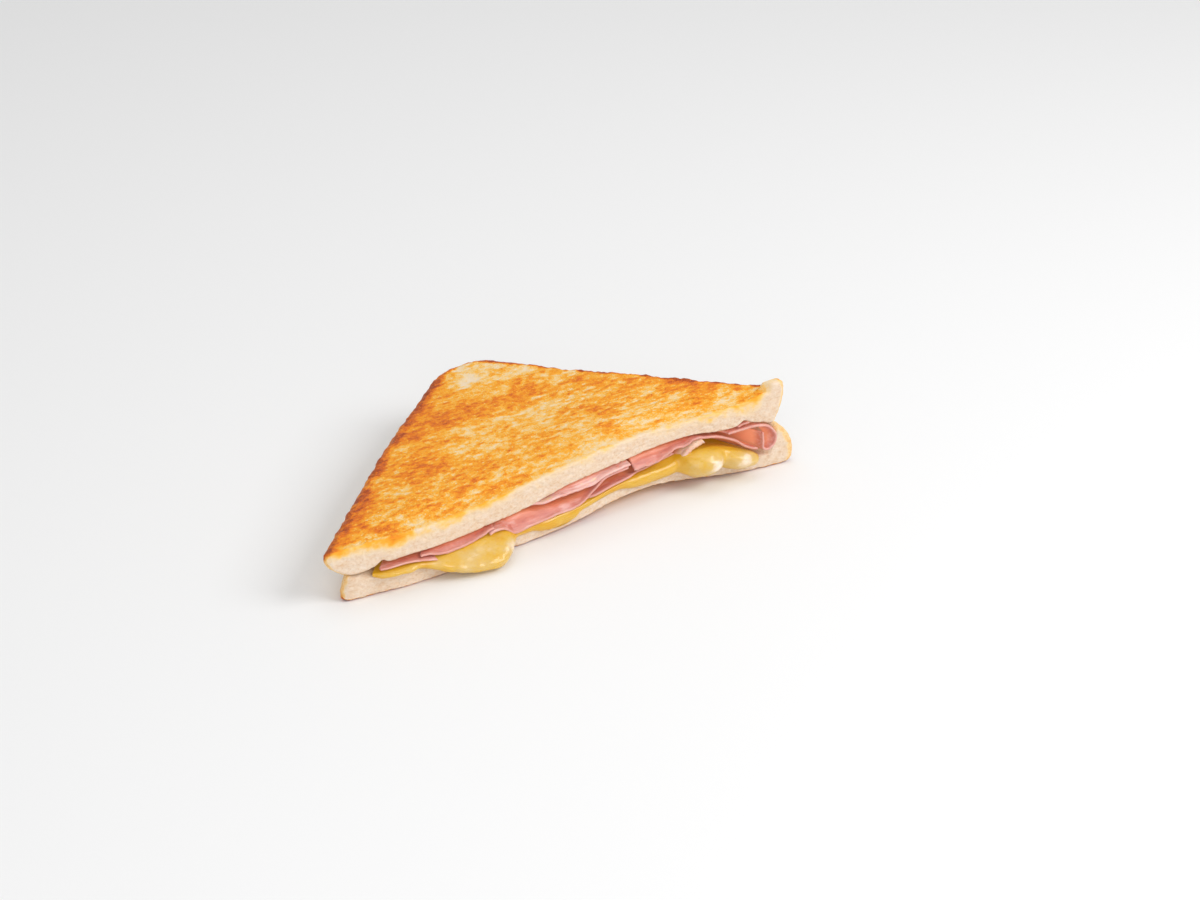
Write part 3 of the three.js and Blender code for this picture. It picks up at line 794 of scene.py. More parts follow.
# %% Bread material
def bread_material():
    """Toast by `brown` plus grain, crumb where `cut` is bare, and skin where `crust` is."""
    material, tree = new_material("Toasted bread")
    brown, cut, crust = mark(tree, "brown"), mark(tree, "cut"), mark(tree, "crust")
    fine = toast_grain(tree)
    on_face = maths(tree, "SUBTRACT", 1.0, maths(tree, "MULTIPLY", cut, 1 - GRAIN_ON_CUT))
    grain = maths(tree, "MULTIPLY", fine, on_face)
    toast = ramp(tree, total(tree, brown, grain, clamped=True), TOAST_TONES)
    crumb, wrinkles = crumb_finish(tree)
    skin = ramp(tree, total(tree, fine, total(tree, brown, SKIN_BROWN), clamped=True), SKIN_TONES)
    browned = maths(tree, "MULTIPLY", brown, 1 / BARE_BELOW, clamped=True)
    bare = maths(tree, "MULTIPLY", cut, maths(tree, "SUBTRACT", 1.0, browned))
    relief = total(tree, grain, maths(tree, "MULTIPLY", wrinkles, WRINKLE_SHARE))
    finish_material(
        tree,
        base_color=blended(tree, crust, blended(tree, bare, toast, crumb), skin),
        roughness=maths(tree, "SUBTRACT", DRY_ROUGHNESS, maths(tree, "MULTIPLY", brown, IRONED_SMOOTHER)),
        normal=bumps(tree, relief, strength=0.7, depth=0.0005),
        subsurface_weight=0.12, subsurface_radius=(0.0016, 0.0012, 0.0008), specular_ior_level=0.25,
    )
    return material


TOAST = bread_material()
print("bread material:", len(TOAST.node_tree.nodes), "nodes")

# %% [markdown]
# ## Bread: the surface
# A slice is a skin of rings. They start along the slice's spine, widen over its outer
# face, go down the crust and the cut, and narrow again over the inner face. Each ring
# is the outline, drawn towards the spine. The relief is added along the normals.

# %% Rings over a slice
OUTER_ROWS, EDGE_ROWS, INNER_ROWS = 56, 27, 15
OUTER_SPREAD, INNER_SPREAD, EDGE_SPREAD = 1.15, 1.3, 0.6
FOCUS = np.array([0.0, 28.0])
FOCUS_PULL = 0.35
LAST_SCALE = 0.015
PULL_POWER, ROUND_POWER, CRUST_ROUND = 2.2, 8, 0.36
EDGE_RADIUS, EDGE_SPAN = 0.75, 0.09


def crust_pull(share):
    """How far the crust leans in at a share of the thickness: a power for the lean, one for the edge."""
    return (1 - share) ** PULL_POWER + CRUST_ROUND * share**ROUND_POWER


print("lean at the inner face and at the outer one:", crust_pull(0.0), crust_pull(1.0))

# %% [markdown]
# ## Bread: the rows of a slice
# The two faces and the edge are made of the same rings, so they join without a gap. A
# grid over each face would be simpler, but its border would not follow the crust.

# %% Rows over the faces and the edge
def edge_ring(plan, share):
    """The outline at a share of the thickness, with its sharp edges rounded as quarter circles."""
    ring = outline(plan, crust_pull(share))
    along = np.roll(ring, -1, axis=0) - np.roll(ring, 1, axis=0)
    outwards = np.stack([along[:, 1], -along[:, 0]], axis=-1) / np.hypot(*along.T)[:, None]
    near_edge = clamp((abs(share - 0.5) - 0.5 + EDGE_SPAN) / EDGE_SPAN)
    return ring - outwards * EDGE_RADIUS * (1 - np.sqrt(1 - near_edge**2))


def spine_of(ring):
    """Halfway between each point and its partner, and drawn towards one focus."""
    partner = np.roll(ring[::-1], 1, axis=0)
    return mix((ring + partner) / 2, FOCUS, FOCUS_PULL)


def face_rows(plan, share, height, scales):
    """Rows over a face: the ring shrunk towards its spine by each scale, at the face's height."""
    ring = edge_ring(plan, share)
    flat = spine_of(ring) + scales[:, None, None] * (ring - spine_of(ring))
    return np.dstack([flat, height(flat[..., 0], flat[..., 1])])


def edge_rows(plan, shares, outer_face, inner_face):
    """Rows down the edge: the ring at each share, in proportion between the two faces."""
    rows = []
    for share in shares:
        x, y = edge_ring(plan, share).T
        rows.append(np.stack([x, y, mix(inner_face(x, y), outer_face(x, y), share)], axis=-1))
    return np.array(rows)


def slice_grid(plan, outer_face, inner_face):
    """Rows of points over the slice, and for each row its share of the thickness."""
    out = np.linspace(1, 0, OUTER_ROWS, endpoint=False)
    outer = face_rows(plan, 1.0, outer_face, 1 - (1 - LAST_SCALE) * out**OUTER_SPREAD)
    shares = np.linspace(0, 1, EDGE_ROWS + 2)
    shares = mix(shares, (1 - np.cos(np.pi * shares)) / 2, EDGE_SPREAD)[::-1]
    edge = edge_rows(plan, shares, outer_face, inner_face)
    inwards = np.linspace(0, 1, INNER_ROWS + 1)[1:]
    inner = face_rows(plan, 0.0, inner_face, 1 - (1 - LAST_SCALE) * inwards**INNER_SPREAD)
    row_share = np.concatenate([np.ones(OUTER_ROWS), shares, np.zeros(INNER_ROWS)])
    return np.concatenate([outer, edge, inner]), row_share


def zipped_ends(rows, columns):
    """Faces that close the first and last ring, from partner to partner."""
    half = columns // 2
    near = np.arange(1, half - 1)
    quads = np.stack([near, near + 1, columns - near - 1, columns - near], axis=-1)
    tips = np.array([[0, 1, columns - 1], [half - 1, half, half + 1]])
    last = (rows - 1) * columns
    return [quads, tips, quads[:, ::-1] + last, tips[:, ::-1] + last]


print("rows over a slice:", OUTER_ROWS, "outside,", EDGE_ROWS + 2, "on the edge,", INNER_ROWS, "inside")

# %% [markdown]
# ## Bread: where it is brown
# A pan never touches a slice evenly. Noise alone would brown it the same all over, so
# named patches of the upper face are browner or paler than the rest. Each is a bell
# along the cut times a bell across it. Finer noise breaks them up into streaks, and
# leaves pale flecks.

# %% Browning of the upper face
BASE_BROWN = 0.47
PATCHES = (
    # at x, at y, reach x, reach y, how much browner
    (-14, 45, 15, 4.8, 0.27), (-24, 47, 6, 3, 0.12), (8, 45, 9, 6, 0.09), (-38, 26, 9, 3.5, 0.13),
    (-50, 9, 5, 1.8, 0.09), (-70, 7, 7, 3, 0.08), (-25, 14, 7, 3, 0.08), (31, 33, 7, 7, 0.05),
    (22, 17, 6, 3, 0.06), (-20, 55, 5, 5, 0.12), (-9, 3, 10, 2, 0.02), (-62, 14, 5, 3, 0.08),
    (2, 67, 11, 8, -0.40), (2, 61.5, 4, 2, -0.16), (16, 60, 5, 5, -0.28), (22, 54, 4, 4, -0.16),
    (-14, 31, 13, 6, -0.14), (-46, 12, 6, 2.8, -0.14), (-3, 29, 6, 4, -0.09), (38, 12, 14, 6, -0.04),
    (8, 6, 22, 4, -0.06), (48, 10, 12, 6, 0.02),
)
CLOUDS_TO_SPOTS = (
    # how much browner, size, seed
    (0.11, (9, 5, 9), 11), (0.085, (3.8, 1.8, 3), 12), (0.085, (1.9, 0.9, 2), 13), (0.06, (0.9, 0.5, 1), 14),
)
FLECK_SIZE, FLECK_SEED, FLECK_LEVEL, FLECK_FADE = (2.6, 1.0, 2), 15, 0.4, 0.4
FLECK_LEAST, FLECK_MORE, FLECKS_ALONG, FLECKS_ACROSS = 0.07, 0.14, (24, 20), (40, 18)


def toasting(points):
    """Browning, 0 to 1, of a face that lay in the pan: patches, plus noise, less flecks.

    A fleck is where one more noise rises over its level. The flecks are palest in a
    field that is a bell along the cut times a bell across it.
    """
    x, y, _ = np.moveaxis(points, -1, 0)
    patches = sum(more * bell(x, at_x, rx) * bell(y, at_y, ry) for at_x, at_y, rx, ry, more in PATCHES)
    flecks = smooth((noise(points, FLECK_SIZE, FLECK_SEED) - FLECK_LEVEL) / FLECK_FADE)
    how_pale = FLECK_LEAST + FLECK_MORE * bell(x, *FLECKS_ALONG) * bell(y, *FLECKS_ACROSS)
    return BASE_BROWN + patches + layered(points, CLOUDS_TO_SPOTS) - how_pale * flecks


print(len(PATCHES), "patches, the brownest", max(patch[-1] for patch in PATCHES))

# %% [markdown]
# ## Bread: the rim and the cut's edge
# The crust's rim lies hard on the pan and is the darkest: a broad band on the left, a
# narrow and darker line on the right, and hardly any at the whole corner, which was
# lifted. At the cut it is the other way round. The knife has bared the crumb, and the
# browning stops along a wandering line, which is drawn as a curve: above zero it runs
# on the face, below zero on the cut.

# %% Browning of the rim
toast_line = through(
    (-84, 0.3), (-75, -1.1), (-60, -2.1), (-48, -1.1), (-30, -1.0), (-18, 0.0), (-8, 0.7),
    (5, 0.3), (16, 1.0), (29, 1.1), (42, 0.2), (56, -1.1), (65, -1.8), (69, 0.6),
)
TOAST_FADE = 8.4
RIM_BAND, RIM_BAND_START, RIM_BAND_WIDTH = (0.21, 0.18), 0.5, 2.4
RIM_LINE, RIM_LINE_END, RIM_LINE_FADE = (0.14, 0.42), 1.5, 1.2
CORNER_ASIDE, CORNER_REACH, CORNER_FROM, CORNER_OVER = 2, 20, 48, 12
CORNER_LINE, CORNER_LINE_END, CORNER_LINE_FADE, CORNER_BARE = 0.34, 1.6, 1.8, 0.75
RAGGED_RIM = ((0.6, 3.0, 21), (0.3, 1.2, 22))
EDGE_SHARE = 0.6


def rim_browning(plan, points):
    """Extra browning by the distance inside the crust: a fading band plus a sharp line."""
    x, y, _ = np.moveaxis(points, -1, 0)
    to_right = right_share(plan, x)
    edge_at = CRUST_ROUND * mix(*plan["taper"], to_right) + EDGE_SHARE * EDGE_RADIUS
    inside = inside_crust(plan, x, y) - edge_at + layered(points, RAGGED_RIM)
    corner_x = plan["corner"][0] + CORNER_ASIDE
    corner = bell(x, corner_x, CORNER_REACH) * smooth((y - CORNER_FROM) / CORNER_OVER)
    band = np.exp(-np.maximum(inside - RIM_BAND_START, 0) / RIM_BAND_WIDTH) * mix(*RIM_BAND, to_right)
    line = mix(*RIM_LINE, to_right) * smooth((RIM_LINE_END - inside) / RIM_LINE_FADE)
    corner_line = CORNER_LINE * corner * smooth((CORNER_LINE_END - inside) / CORNER_LINE_FADE)
    return band * (1 - CORNER_BARE * corner) + line + corner_line


print("the browning stops, from the left tip to the right one, at", *(
    round(float(toast_line(x)), 1) for x in (-75, -40, 0, 40, 65)))

# %% [markdown]
# ## Bread: the parts of a slice
# The grid runs over the outer face, down the edge and back over the inner face. On the
# edge, the crust and the cut follow each other, and they are told apart by their
# distance from the cut's line. Painting masks by hand would do too, but they would be
# lost when a size changes.

# %% Parts of a slice, and how far it is toasted
CRUST_START, CRUST_PASSAGE = 0.7, 0.9
TOAST_WANDER, TOAST_STREAKS = 0.55, ((0.7, (5, 1.6, 2.5), 33), (0.35, (1.6, 0.7, 0.8), 34))
LOWER_LINE, LOWER_WANDER, LOWER_SPOTS, LOWER_FADE = 0.30, 0.10, ((0.15, 0.9, 35),), 0.35


def on_crust(points):
    """1 on the two crusts, 0 on the cut, with a short passage by y."""
    return smooth((points[..., 1] - CRUST_START) / CRUST_PASSAGE)


def parts_of(grid):
    """Shares, 0 to 1: of the outer face, the edge, the crust's side and the cut's side."""
    rows = np.arange(len(grid))[:, None]
    outside = (rows < OUTER_ROWS) * 1.0
    on_edge = ((rows >= OUTER_ROWS) & (rows < OUTER_ROWS + EDGE_ROWS + 2)) * 1.0
    return outside, on_edge, on_edge * on_crust(grid), on_edge * (1 - on_crust(grid))


def toasted_share(grid, wander, outer_face, upper):
    """1 well inside the toast line and 0 beyond it, by the way in and down from the cut's edge."""
    x, y, z = np.moveaxis(grid, -1, 0)
    if upper:
        from_edge = np.maximum(y, 0) + np.minimum(0, z - outer_face(x, 0 * y))
        past_line = from_edge - toast_line(x) + TOAST_WANDER * wander + layered(grid, TOAST_STREAKS)
        return smooth(past_line / TOAST_FADE + 0.5)
    from_edge = np.maximum(y, 0) - np.abs(z - outer_face(x, y))
    past_line = from_edge + LOWER_LINE + LOWER_WANDER * wander + layered(grid, LOWER_SPOTS)
    return smooth(past_line / LOWER_FADE)


print("1 mm from the cut, the share of crust is", round(float(on_crust(np.array([0.0, 1.0, 0.0]))), 2))

# %% [markdown]
# ## Bread: the marks
# `brown`, `cut` and `crust` are worked out for each point. On the crust the browning
# fades downwards from the rim to the pale side. On the cut the skin of the loaf shows
# as a thin brownish section. The lower slice is browner along its cut, where it lay on
# the pan with its whole edge.

# %% Marks of a slice
WANDER, SKIN_WANDER = ((1.0, 5.0, 31), (0.6, 1.6, 32)), ((0.25, 1.0, 36),)
RIM_DOWN, RIM_DOWN_WANDER, RIM_DOWN_FADE, RIM_BROWNER = 0.8, 0.5, 1.3, 0.05
SIDE_BROWN, SIDE_WANDER, INNER_BROWN = 0.12, 0.1, 0.05
EAR_PALER, LOWER_EDGE_BROWN, LOWER_EDGE_FADE = 0.7, 0.55, 1.2
SKIN_WIDTH, SKIN_FADE, SECTION_BROWN, SECTION_SKIN, SKIN_HIDDEN = 1.9, 0.9, 0.3, 0.9, 0.8


def bread_marks(plan, grid, share, outer_face, upper):
    """The marks, and the toasted share: browning of the face, faded down the crust and the cut."""
    x, y, z = np.moveaxis(grid, -1, 0)
    outside, on_edge, crust_side, cut_side = parts_of(grid)
    wander = layered(grid, WANDER)
    toasted = toasted_share(grid, wander, outer_face, upper)
    below_rim = np.abs(z - outer_face(x, y))
    past_rim = np.maximum(0, below_rim - RIM_DOWN + RIM_DOWN_WANDER * wander)
    down_crust = np.exp(-past_rim / RIM_DOWN_FADE)

    brown_face = toasting(grid) + rim_browning(plan, grid)
    if upper:
        brown_face = brown_face * (1 - EAR_PALER * ear_share(x, y))
    else:
        brown_face = brown_face + LOWER_EDGE_BROWN * np.exp(-np.maximum(0, y) / LOWER_EDGE_FADE)
    brown_crust = mix(SIDE_BROWN + SIDE_WANDER * wander, brown_face + RIM_BROWNER, down_crust)
    brown = mix(brown_face * toasted, brown_crust, on_edge * on_crust(grid))
    brown = np.where((outside + on_edge) > 0, brown, INNER_BROWN)

    lean = mix(*plan["taper"], right_share(plan, x)) * crust_pull(share)
    skin_depth = inside_crust(plan, x, y) - lean + layered(grid, SKIN_WANDER)
    section = cut_side * smooth((SKIN_WIDTH - skin_depth) / SKIN_FADE) * (1 - toasted)
    crust = np.maximum(crust_side * (1 - SKIN_HIDDEN * down_crust), SECTION_SKIN * section)
    cut = np.maximum(np.maximum(cut_side, 1 - outside - on_edge), outside * (1 - toasted))
    marks = {"brown": clamp(brown + SECTION_BROWN * section), "cut": clamp(cut), "crust": clamp(crust)}
    return marks, toasted, below_rim


print(f"the crust's side is {SIDE_BROWN} brown, and browner towards its rim")

# %% [markdown]
# ## Bread: the relief
# Each part has its own relief, in millimetres along the normal: pores and soft waves in
# the crumb, a light swelling where the toast is brown, dents in the skin, and a crumbly
# edge along the rim. Bumps in the material alone would leave the outline smooth.

# %% Relief of a slice
PORE_DEPTH, PORE_SIZE, PORE_SEED, PORE_LEVEL, PORE_FADE = 0.14, (1.2, 0.9, 0.9), 41, 0.35, 0.5
CRUMB_WAVES = ((0.06, (5, 2, 1.3), 42), (0.05, (1.3, 1.0, 0.8), 43))
TOAST_SWELL, TOAST_GRAIN = 0.30, ((0.07, (0.9, 0.7, 1), 44),)
SKIN_DENTS = ((0.16, 2.6, 45), (0.13, 1.1, 46))
CRAGS, CRAG_REACH = ((0.05, 3.0, 47), (0.10, 1.5, 48)), 1.2
FLAT_ROWS = 4


def bread_relief(grid, toasted, below_rim):
    """Heights along the normal: each part's noise, blended by the shares of the parts."""
    rows = np.arange(len(grid))[:, None]
    outside, _, crust_side, cut_side = parts_of(grid)
    pores = smooth((noise(grid, PORE_SIZE, PORE_SEED) - PORE_LEVEL) / PORE_FADE)
    crumb = layered(grid, CRUMB_WAVES) - PORE_DEPTH * pores
    toast = TOAST_SWELL * (toasting(grid) - BASE_BROWN) + layered(grid, TOAST_GRAIN)
    crags = layered(grid, CRAGS) * bell(below_rim, 0, CRAG_REACH) * on_crust(grid)
    skin = layered(grid, SKIN_DENTS) + crags
    relief = outside * mix(crumb, toast, toasted) + cut_side * crumb + crust_side * skin
    return relief * (rows < OUTER_ROWS + EDGE_ROWS + 2) * smooth(rows / FLAT_ROWS)


def facing(grid):
    """1 if the grid's normals point inwards, -1 if outwards: the sign of their sum to the middle."""
    middle = grid.reshape(-1, 3).mean(axis=0)
    return np.sign(((middle - grid) * normals_of(grid)).sum())


def bread_slice(plan, outer_face, inner_face, upper):
    """Points, faces and marks of a slice: its grid, plus relief times normal, bent as the cut is."""
    grid, row_share = slice_grid(plan, outer_face, inner_face)
    share = np.repeat(row_share[:, None], grid.shape[1], axis=1)
    marks, toasted, below_rim = bread_marks(plan, grid, share, outer_face, upper)
    outwards = -normals_of(grid) * facing(grid)
    outwards[:OUTER_ROWS] = (0, 0, 1 if upper else -1)
    relief = bread_relief(grid, toasted, below_rim)
    points = swayed((grid + outwards * relief[..., None]).reshape(-1, 3))
    points[:, 2] = np.maximum(points[:, 2], 0)
    faces = [grid_faces(*grid.shape[:2]), *zipped_ends(*grid.shape[:2])]
    return points, faces, marks


places = np.random.default_rng(0).uniform(0, 90, (5000, 3))
in_pore = noise(places, PORE_SIZE, PORE_SEED) > PORE_LEVEL
print(f"pores take {100 * in_pore.mean():.0f} % of the crumb")

# %% [markdown]
# ## Bread: both slices
# The shapes have their origin in the middle of the cut, and the frame has its own in
# the middle of the whole. The lower slice's box shows how far apart they are, and
# `fitted` moves every piece over. `dressed` makes a piece, puts it on its body, and hides
# the node that it stands for.

# %% Both slices
lower_points, lower_faces, lower_marks = bread_slice(BOTTOM, lower_face, lower_upside, upper=False)
upper_points, upper_faces, upper_marks = bread_slice(TOP, top_face, upper_underside, upper=True)
low, high = (np.array(corner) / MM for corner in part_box("bread_bottom"))
shift = (low + high) / 2 - (lower_points.min(axis=0) + lower_points.max(axis=0)) / 2
shift[2] = 0
print("shift to the frame's origin, mm:", shift.round(2))


def fitted(points):
    """The same points in the frame's place: all are moved by one shift."""
    return points + shift


def dressed(name, node, points, faces, material, marks=None):
    """A piece that stands for a node of the frame, and rides with it."""
    piece = mesh_piece(name, fitted(points), faces, material, marks)
    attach(piece, "root")
    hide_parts(node)
    return piece


dressed("Lower_slice", "bread_bottom", lower_points, lower_faces, TOAST, lower_marks)
dressed("Upper_slice", "bread_top", upper_points, upper_faces, TOAST, upper_marks)

# %% [markdown]
# ## Cheese: the material
# Melted cheese is glossy and lets light in, so its thin places glow and its colour is
# deepest where it is thick. A glassy material would show the bread through it.
# Subsurface scattering keeps it milky. A painted glow, its own tone given as emission,
# lifts the shade to yellow where olive would creep in, and a low roughness gives the
# wet highlights.

# %% Cheese material
CHEESE_TONES = ((0.0, 216, 162, 28), (0.35, 217, 173, 62), (0.65, 216, 182, 112), (1.0, 239, 221, 204))
FINE_SHARE, WET_ROUGHNESS, DULLER = 0.4, 0.30, 0.2


def cheese_material():
    """The tone is `pale`, plus clouds, plus a little of a fine mottle that also dulls the gloss. The same
    tone also goes in as a faint painted glow.
    """
    material, tree = new_material("Melted cheese")
    clouds = mottle(tree, (0.7, 1.0, 1.0), 240.0, 0.8)
    fine = mottle(tree, (0.6, 1.0, 1.0), 1400.0, 0.8)
    mottled = total(tree, clouds, maths(tree, "MULTIPLY", fine, FINE_SHARE))
    tone = ramp(tree, total(tree, mottled, mark(tree, "pale"), clamped=True), CHEESE_TONES)
    finish_material(
        tree, base_color=tone, roughness=total(tree, WET_ROUGHNESS, maths(tree, "MULTIPLY", fine, DULLER)),
        normal=bumps(tree, fine, strength=0.15, depth=0.0003), subsurface_weight=0.5,
        subsurface_radius=(0.003, 0.0028, 0.001), coat_weight=0.25, coat_roughness=0.1,
        # painted glow: the tone as emission, so that the shaded cheese stays yellow
        emission_color=tone, emission_strength=0.18,
    )
    return material


MELTED = cheese_material()
print("cheese material:", len(MELTED.node_tree.nodes), "nodes")

# %% [markdown]
# ## Cheese: how it flows
# One sheet of cheese lies under the ham and has run out of the cut. A fluid simulation
# would run where it likes, but these drops have their places. So flows are listed along
# the cut, each with its width, its reach and its heights: one slumps down the front
# like a curtain, two bulge like drops.

# %% Sizes of the flows
BLOB = dict(tilt=0.0, slump=0.0, swell=(0.6, 0.6), peak=0.6)
FLOWS = (
    {**BLOB, "at": -61, "left": 8, "right": 9, "out": 2.6, "low": 5.0, "crest": 7.4},
    {**BLOB, "at": -31, "left": 25, "right": 9.4, "out": 8.6, "low": 0.15, "crest": 8.2,
     "slump": 1, "swell": (1.4, 0.8), "peak": 4.5},
    {**BLOB, "at": -6, "left": 8, "right": 8, "out": 1.5, "low": 2.2, "crest": 6.2, "slump": 0.4},
    {**BLOB, "at": 29, "left": 11, "right": 10, "out": 2.2, "low": 5.2, "crest": 9.4, "slump": 0.2},
    {**BLOB, "at": 46, "left": 7.6, "right": 7.4, "out": 7.4, "low": 3.3, "crest": 12.6},
    {**BLOB, "at": 58.6, "left": 7.0, "right": 7.4, "out": 5.6, "low": 2.6, "crest": 9.6, "tilt": -0.32},
)
CHEESE_ENDS, END_ROUND, END_TUCK = (-69.6, 65.9), (3.6, 1.6), 0.6
LIP_OUT, LIP_BELOW, LIP_UNDER = 0.7, 0.5, 0.1


def flow_at(x):
    """How far out, how low and how high the cheese is, and how much it slumps, at x.

    A flow's share is 1 at its middle and falls to 0 at its sides, as a power of one
    less the square of the way there. The largest share of all flows counts. Both ends
    close as a quarter circle does.
    """
    base_low, base_crest = lower_at_cut(x) - LIP_BELOW, cheese_at_cut(x) - LIP_UNDER
    out, low, crest, slump = LIP_OUT + 0 * x, base_low, base_crest, 0 * x
    for flow in FLOWS:
        away = np.where(x < flow["at"], (flow["at"] - x) / flow["left"], (x - flow["at"]) / flow["right"])
        within = np.maximum(0, 1 - away**2)
        share = within ** np.where(x < flow["at"], *flow["swell"])
        out = np.maximum(out, mix(LIP_OUT, flow["out"], share))
        low = np.minimum(low, mix(base_low, flow["low"], share))
        crest = mix(crest, flow["crest"] + flow["tilt"] * (x - flow["at"]), within ** flow["peak"])
        slump = np.maximum(slump, flow["slump"] * share)
    from_left, from_right = x - CHEESE_ENDS[0], CHEESE_ENDS[1] - x
    full = np.sqrt(clamp(from_left / END_ROUND[0]) * clamp(from_right / END_ROUND[1]))
    middle = (low + crest) / 2
    return mix(-END_TUCK, out, full), mix(middle, low, full), mix(middle, crest, full), slump


for place_name, flow in (("drip", FLOWS[1]), ("first blob", FLOWS[4])):
    print(f"{place_name}: {float(flow_at(np.array(flow['at']))[0]):.1f} mm out of the cut")

# %% [markdown]
# ## Cheese: how deep it goes, and its nose
# Inside, the cheese ends at about the same distance from the crust all round, or where
# the fan gets too narrow. What hangs out of the cut is the nose of the sheet. A blob
# bulges all the way down, and a curtain comes out and falls, so both are part of a sine
# wave, and `slump` blends them. Where two flows meet, moving each point towards its
# neighbours takes out the step.

# %% Depth, softening and the nose
NOSE_POINTS = 72
BULGE_PART, BULGE_POWER = (0.12, 0.93), 0.75
CURTAIN_RATE, CURTAIN_MOST, CURTAIN_POWER = 1.3, 1.15, 1.1


def fill_back(x, margin=FILL_MARGIN):
    """How deep the filling goes: along the fan, until a margin inside both crusts is left."""
    at_cut = np.minimum(inside_crust(TOP, x, 0), inside_crust(BOTTOM, x, 0))
    return np.maximum(FILL_LEAST, np.minimum(FILL_DEPTH, FAN_Y * (1 - margin / at_cut)))


def softened(grid, passes, axis):
    """Each point moves halfway to the middle of its two neighbours, a few times."""
    for _ in range(passes):
        before = np.concatenate([grid.take([0], axis), grid.take(range(grid.shape[axis] - 1), axis)], axis)
        after = np.concatenate([grid.take(range(1, grid.shape[axis]), axis), grid.take([-1], axis)], axis)
        grid = (before + 2 * grid + after) / 4
    return grid


def nose_section(out, low, crest, slump):
    """Down the nose: a bulge as a power of half a sine wave, or a curtain that only swells."""
    t = np.linspace(0, 1, NOSE_POINTS)
    bulge = np.sin(np.pi * mix(*BULGE_PART, t)) ** BULGE_POWER
    curtain = np.sin(np.pi / 2 * np.minimum(CURTAIN_RATE * t, CURTAIN_MOST)) ** CURTAIN_POWER
    return -out * mix(bulge, curtain, slump), mix(crest, low, t)


nose_y, nose_z = nose_section(*flow_at(np.array([[float(FLOWS[1]["at"])]])))
print(f"the drip's nose is {np.ptp(nose_z):.1f} mm high and {-nose_y.min():.1f} mm out")

# %% [markdown]
# ## Cheese: the section
# A section across the cut is drawn for each place along it, and the sheet is these
# sections side by side: the lid from deep inside to the cut, over the edge, down the
# nose, under it, and back along the ledge on the lower slice.

# %% The sheet
CHEESE_STATIONS, BEHIND_POINTS, OVER_POINTS, UNDER_POINTS = 680, 14, 12, 5
CHEESE_GAP, CHEESE_GAP_DEEP, UNDER_DEPTH, UNDER_RISE = 0.45, 0.7, 0.1, 0.15
DRIP_LEAN, DRIP_LEAN_START, DRIP_LEAN_LEVEL, DRIP_END, DRIP_PASSAGE = 0.2, 0.8, 3.0, -14.0, 6
FIRST_ROW, FIRST_ROW_SHARE, BEHIND_POWER = 2.5, 0.4, 0.6
NOSE_SOFT, ALONG_SOFT, DRIP_SOFT = 50, 36, 70


def cheese_grid():
    """Sections side by side, softened across the nose and along the cut."""
    x = np.linspace(*CHEESE_ENDS, CHEESE_STATIONS)[:, None]
    out, low, crest, slump = flow_at(x)
    depth_end = fill_back(x)
    start = np.minimum(FIRST_ROW, depth_end * FIRST_ROW_SHARE)

    def ledge(y):
        """The lower slice's height at depth y, plus a small gap that widens inwards."""
        return lower_inner(squeezed_x(x, y), y) + mix(CHEESE_GAP, CHEESE_GAP_DEEP, clamp(y / DEEP))

    behind = mix(depth_end, start, np.linspace(0, 1, BEHIND_POINTS) ** BEHIND_POWER)
    lid = cheese_top(squeezed_x(x, behind), behind)
    nose_y, nose_z = nose_section(out, low, crest, slump)
    over = np.linspace(0, 1, OVER_POINTS)[1:-1]
    over_y = mix(start, nose_y[:, :1], over)
    over_z = mix(lid[:, -1:], crest, smooth(over))
    below = np.linspace(-CHEESE_GAP - UNDER_DEPTH, -CHEESE_GAP, UNDER_POINTS)
    under_y = np.broadcast_to(below, (len(x), UNDER_POINTS))
    under_z = mix(low, ledge(0 * x) + UNDER_RISE, np.linspace(0, 1, UNDER_POINTS))
    way_back = behind[:, ::-1]
    y = np.concatenate([behind, over_y, nose_y, under_y, way_back], axis=1)
    z = np.concatenate([lid, over_z, nose_z, under_z, ledge(way_back)], axis=1)
    lean = slump * smooth(-y / DRIP_LEAN_START) * DRIP_LEAN * (z - DRIP_LEAN_LEVEL)
    grid = np.dstack([squeezed_x(x, y) + lean, y, z])
    nose = slice(BEHIND_POINTS - 1, BEHIND_POINTS + OVER_POINTS + NOSE_POINTS)
    grid[:, nose] = softened(grid[:, nose], NOSE_SOFT, axis=1)
    at_drip = smooth((DRIP_END - x) / DRIP_PASSAGE)[..., None]
    return mix(softened(grid, ALONG_SOFT, axis=0), softened(grid, DRIP_SOFT, axis=0), at_drip)


def zipped_section(rows, columns):
    """Faces that close the first and last section, across from its lid to its ledge."""
    near = np.arange(columns // 2 - 1)
    far = columns - 1 - near
    quads = np.stack([near, near + 1, far - 1, far], axis=-1)
    return [quads, quads[:, ::-1] + (rows - 1) * columns]


print("points in a section of cheese:", cheese_grid().shape[1])

# %% [markdown]
# ## Cheese: pale places, painted highlights, ripples and the piece
# The cheese is paler the further it hangs out of the cut, and a few soft pale patches on
# the blobs and the drip are painted highlights. These places are marked on the points,
# because a mottle alone would put them anywhere. Ripples run over what hangs freely, and
# stop where the cheese lies on the floor.

# %% The piece of cheese
# painted highlights: soft pale patches on the two blobs and on the drip
PAINTED_CHEESE_HIGHLIGHTS = (
    # at x, at z, reach x, how much paler
    (48.8, 8.4, 2.8, 0.62), (57.8, 6.8, 3.0, 0.6), (-25.0, 4.0, 2.4, 0.28), (-42.0, 3.0, 5.0, 0.14),
)
HIGHLIGHT_REACH_UP, PALE_LEAST, PALE_OUT, PALE_REACH = 2.2, 0.10, 0.34, 4.5
PALE_CLOUDS = ((0.15, (5, 3, 3), 63),)
RIPPLES, RIPPLES_OUT, RIPPLES_UP = ((0.18, (6, 4, 5), 61), (0.09, (2.2, 1.8, 1.6), 62)), 1.2, 1.5


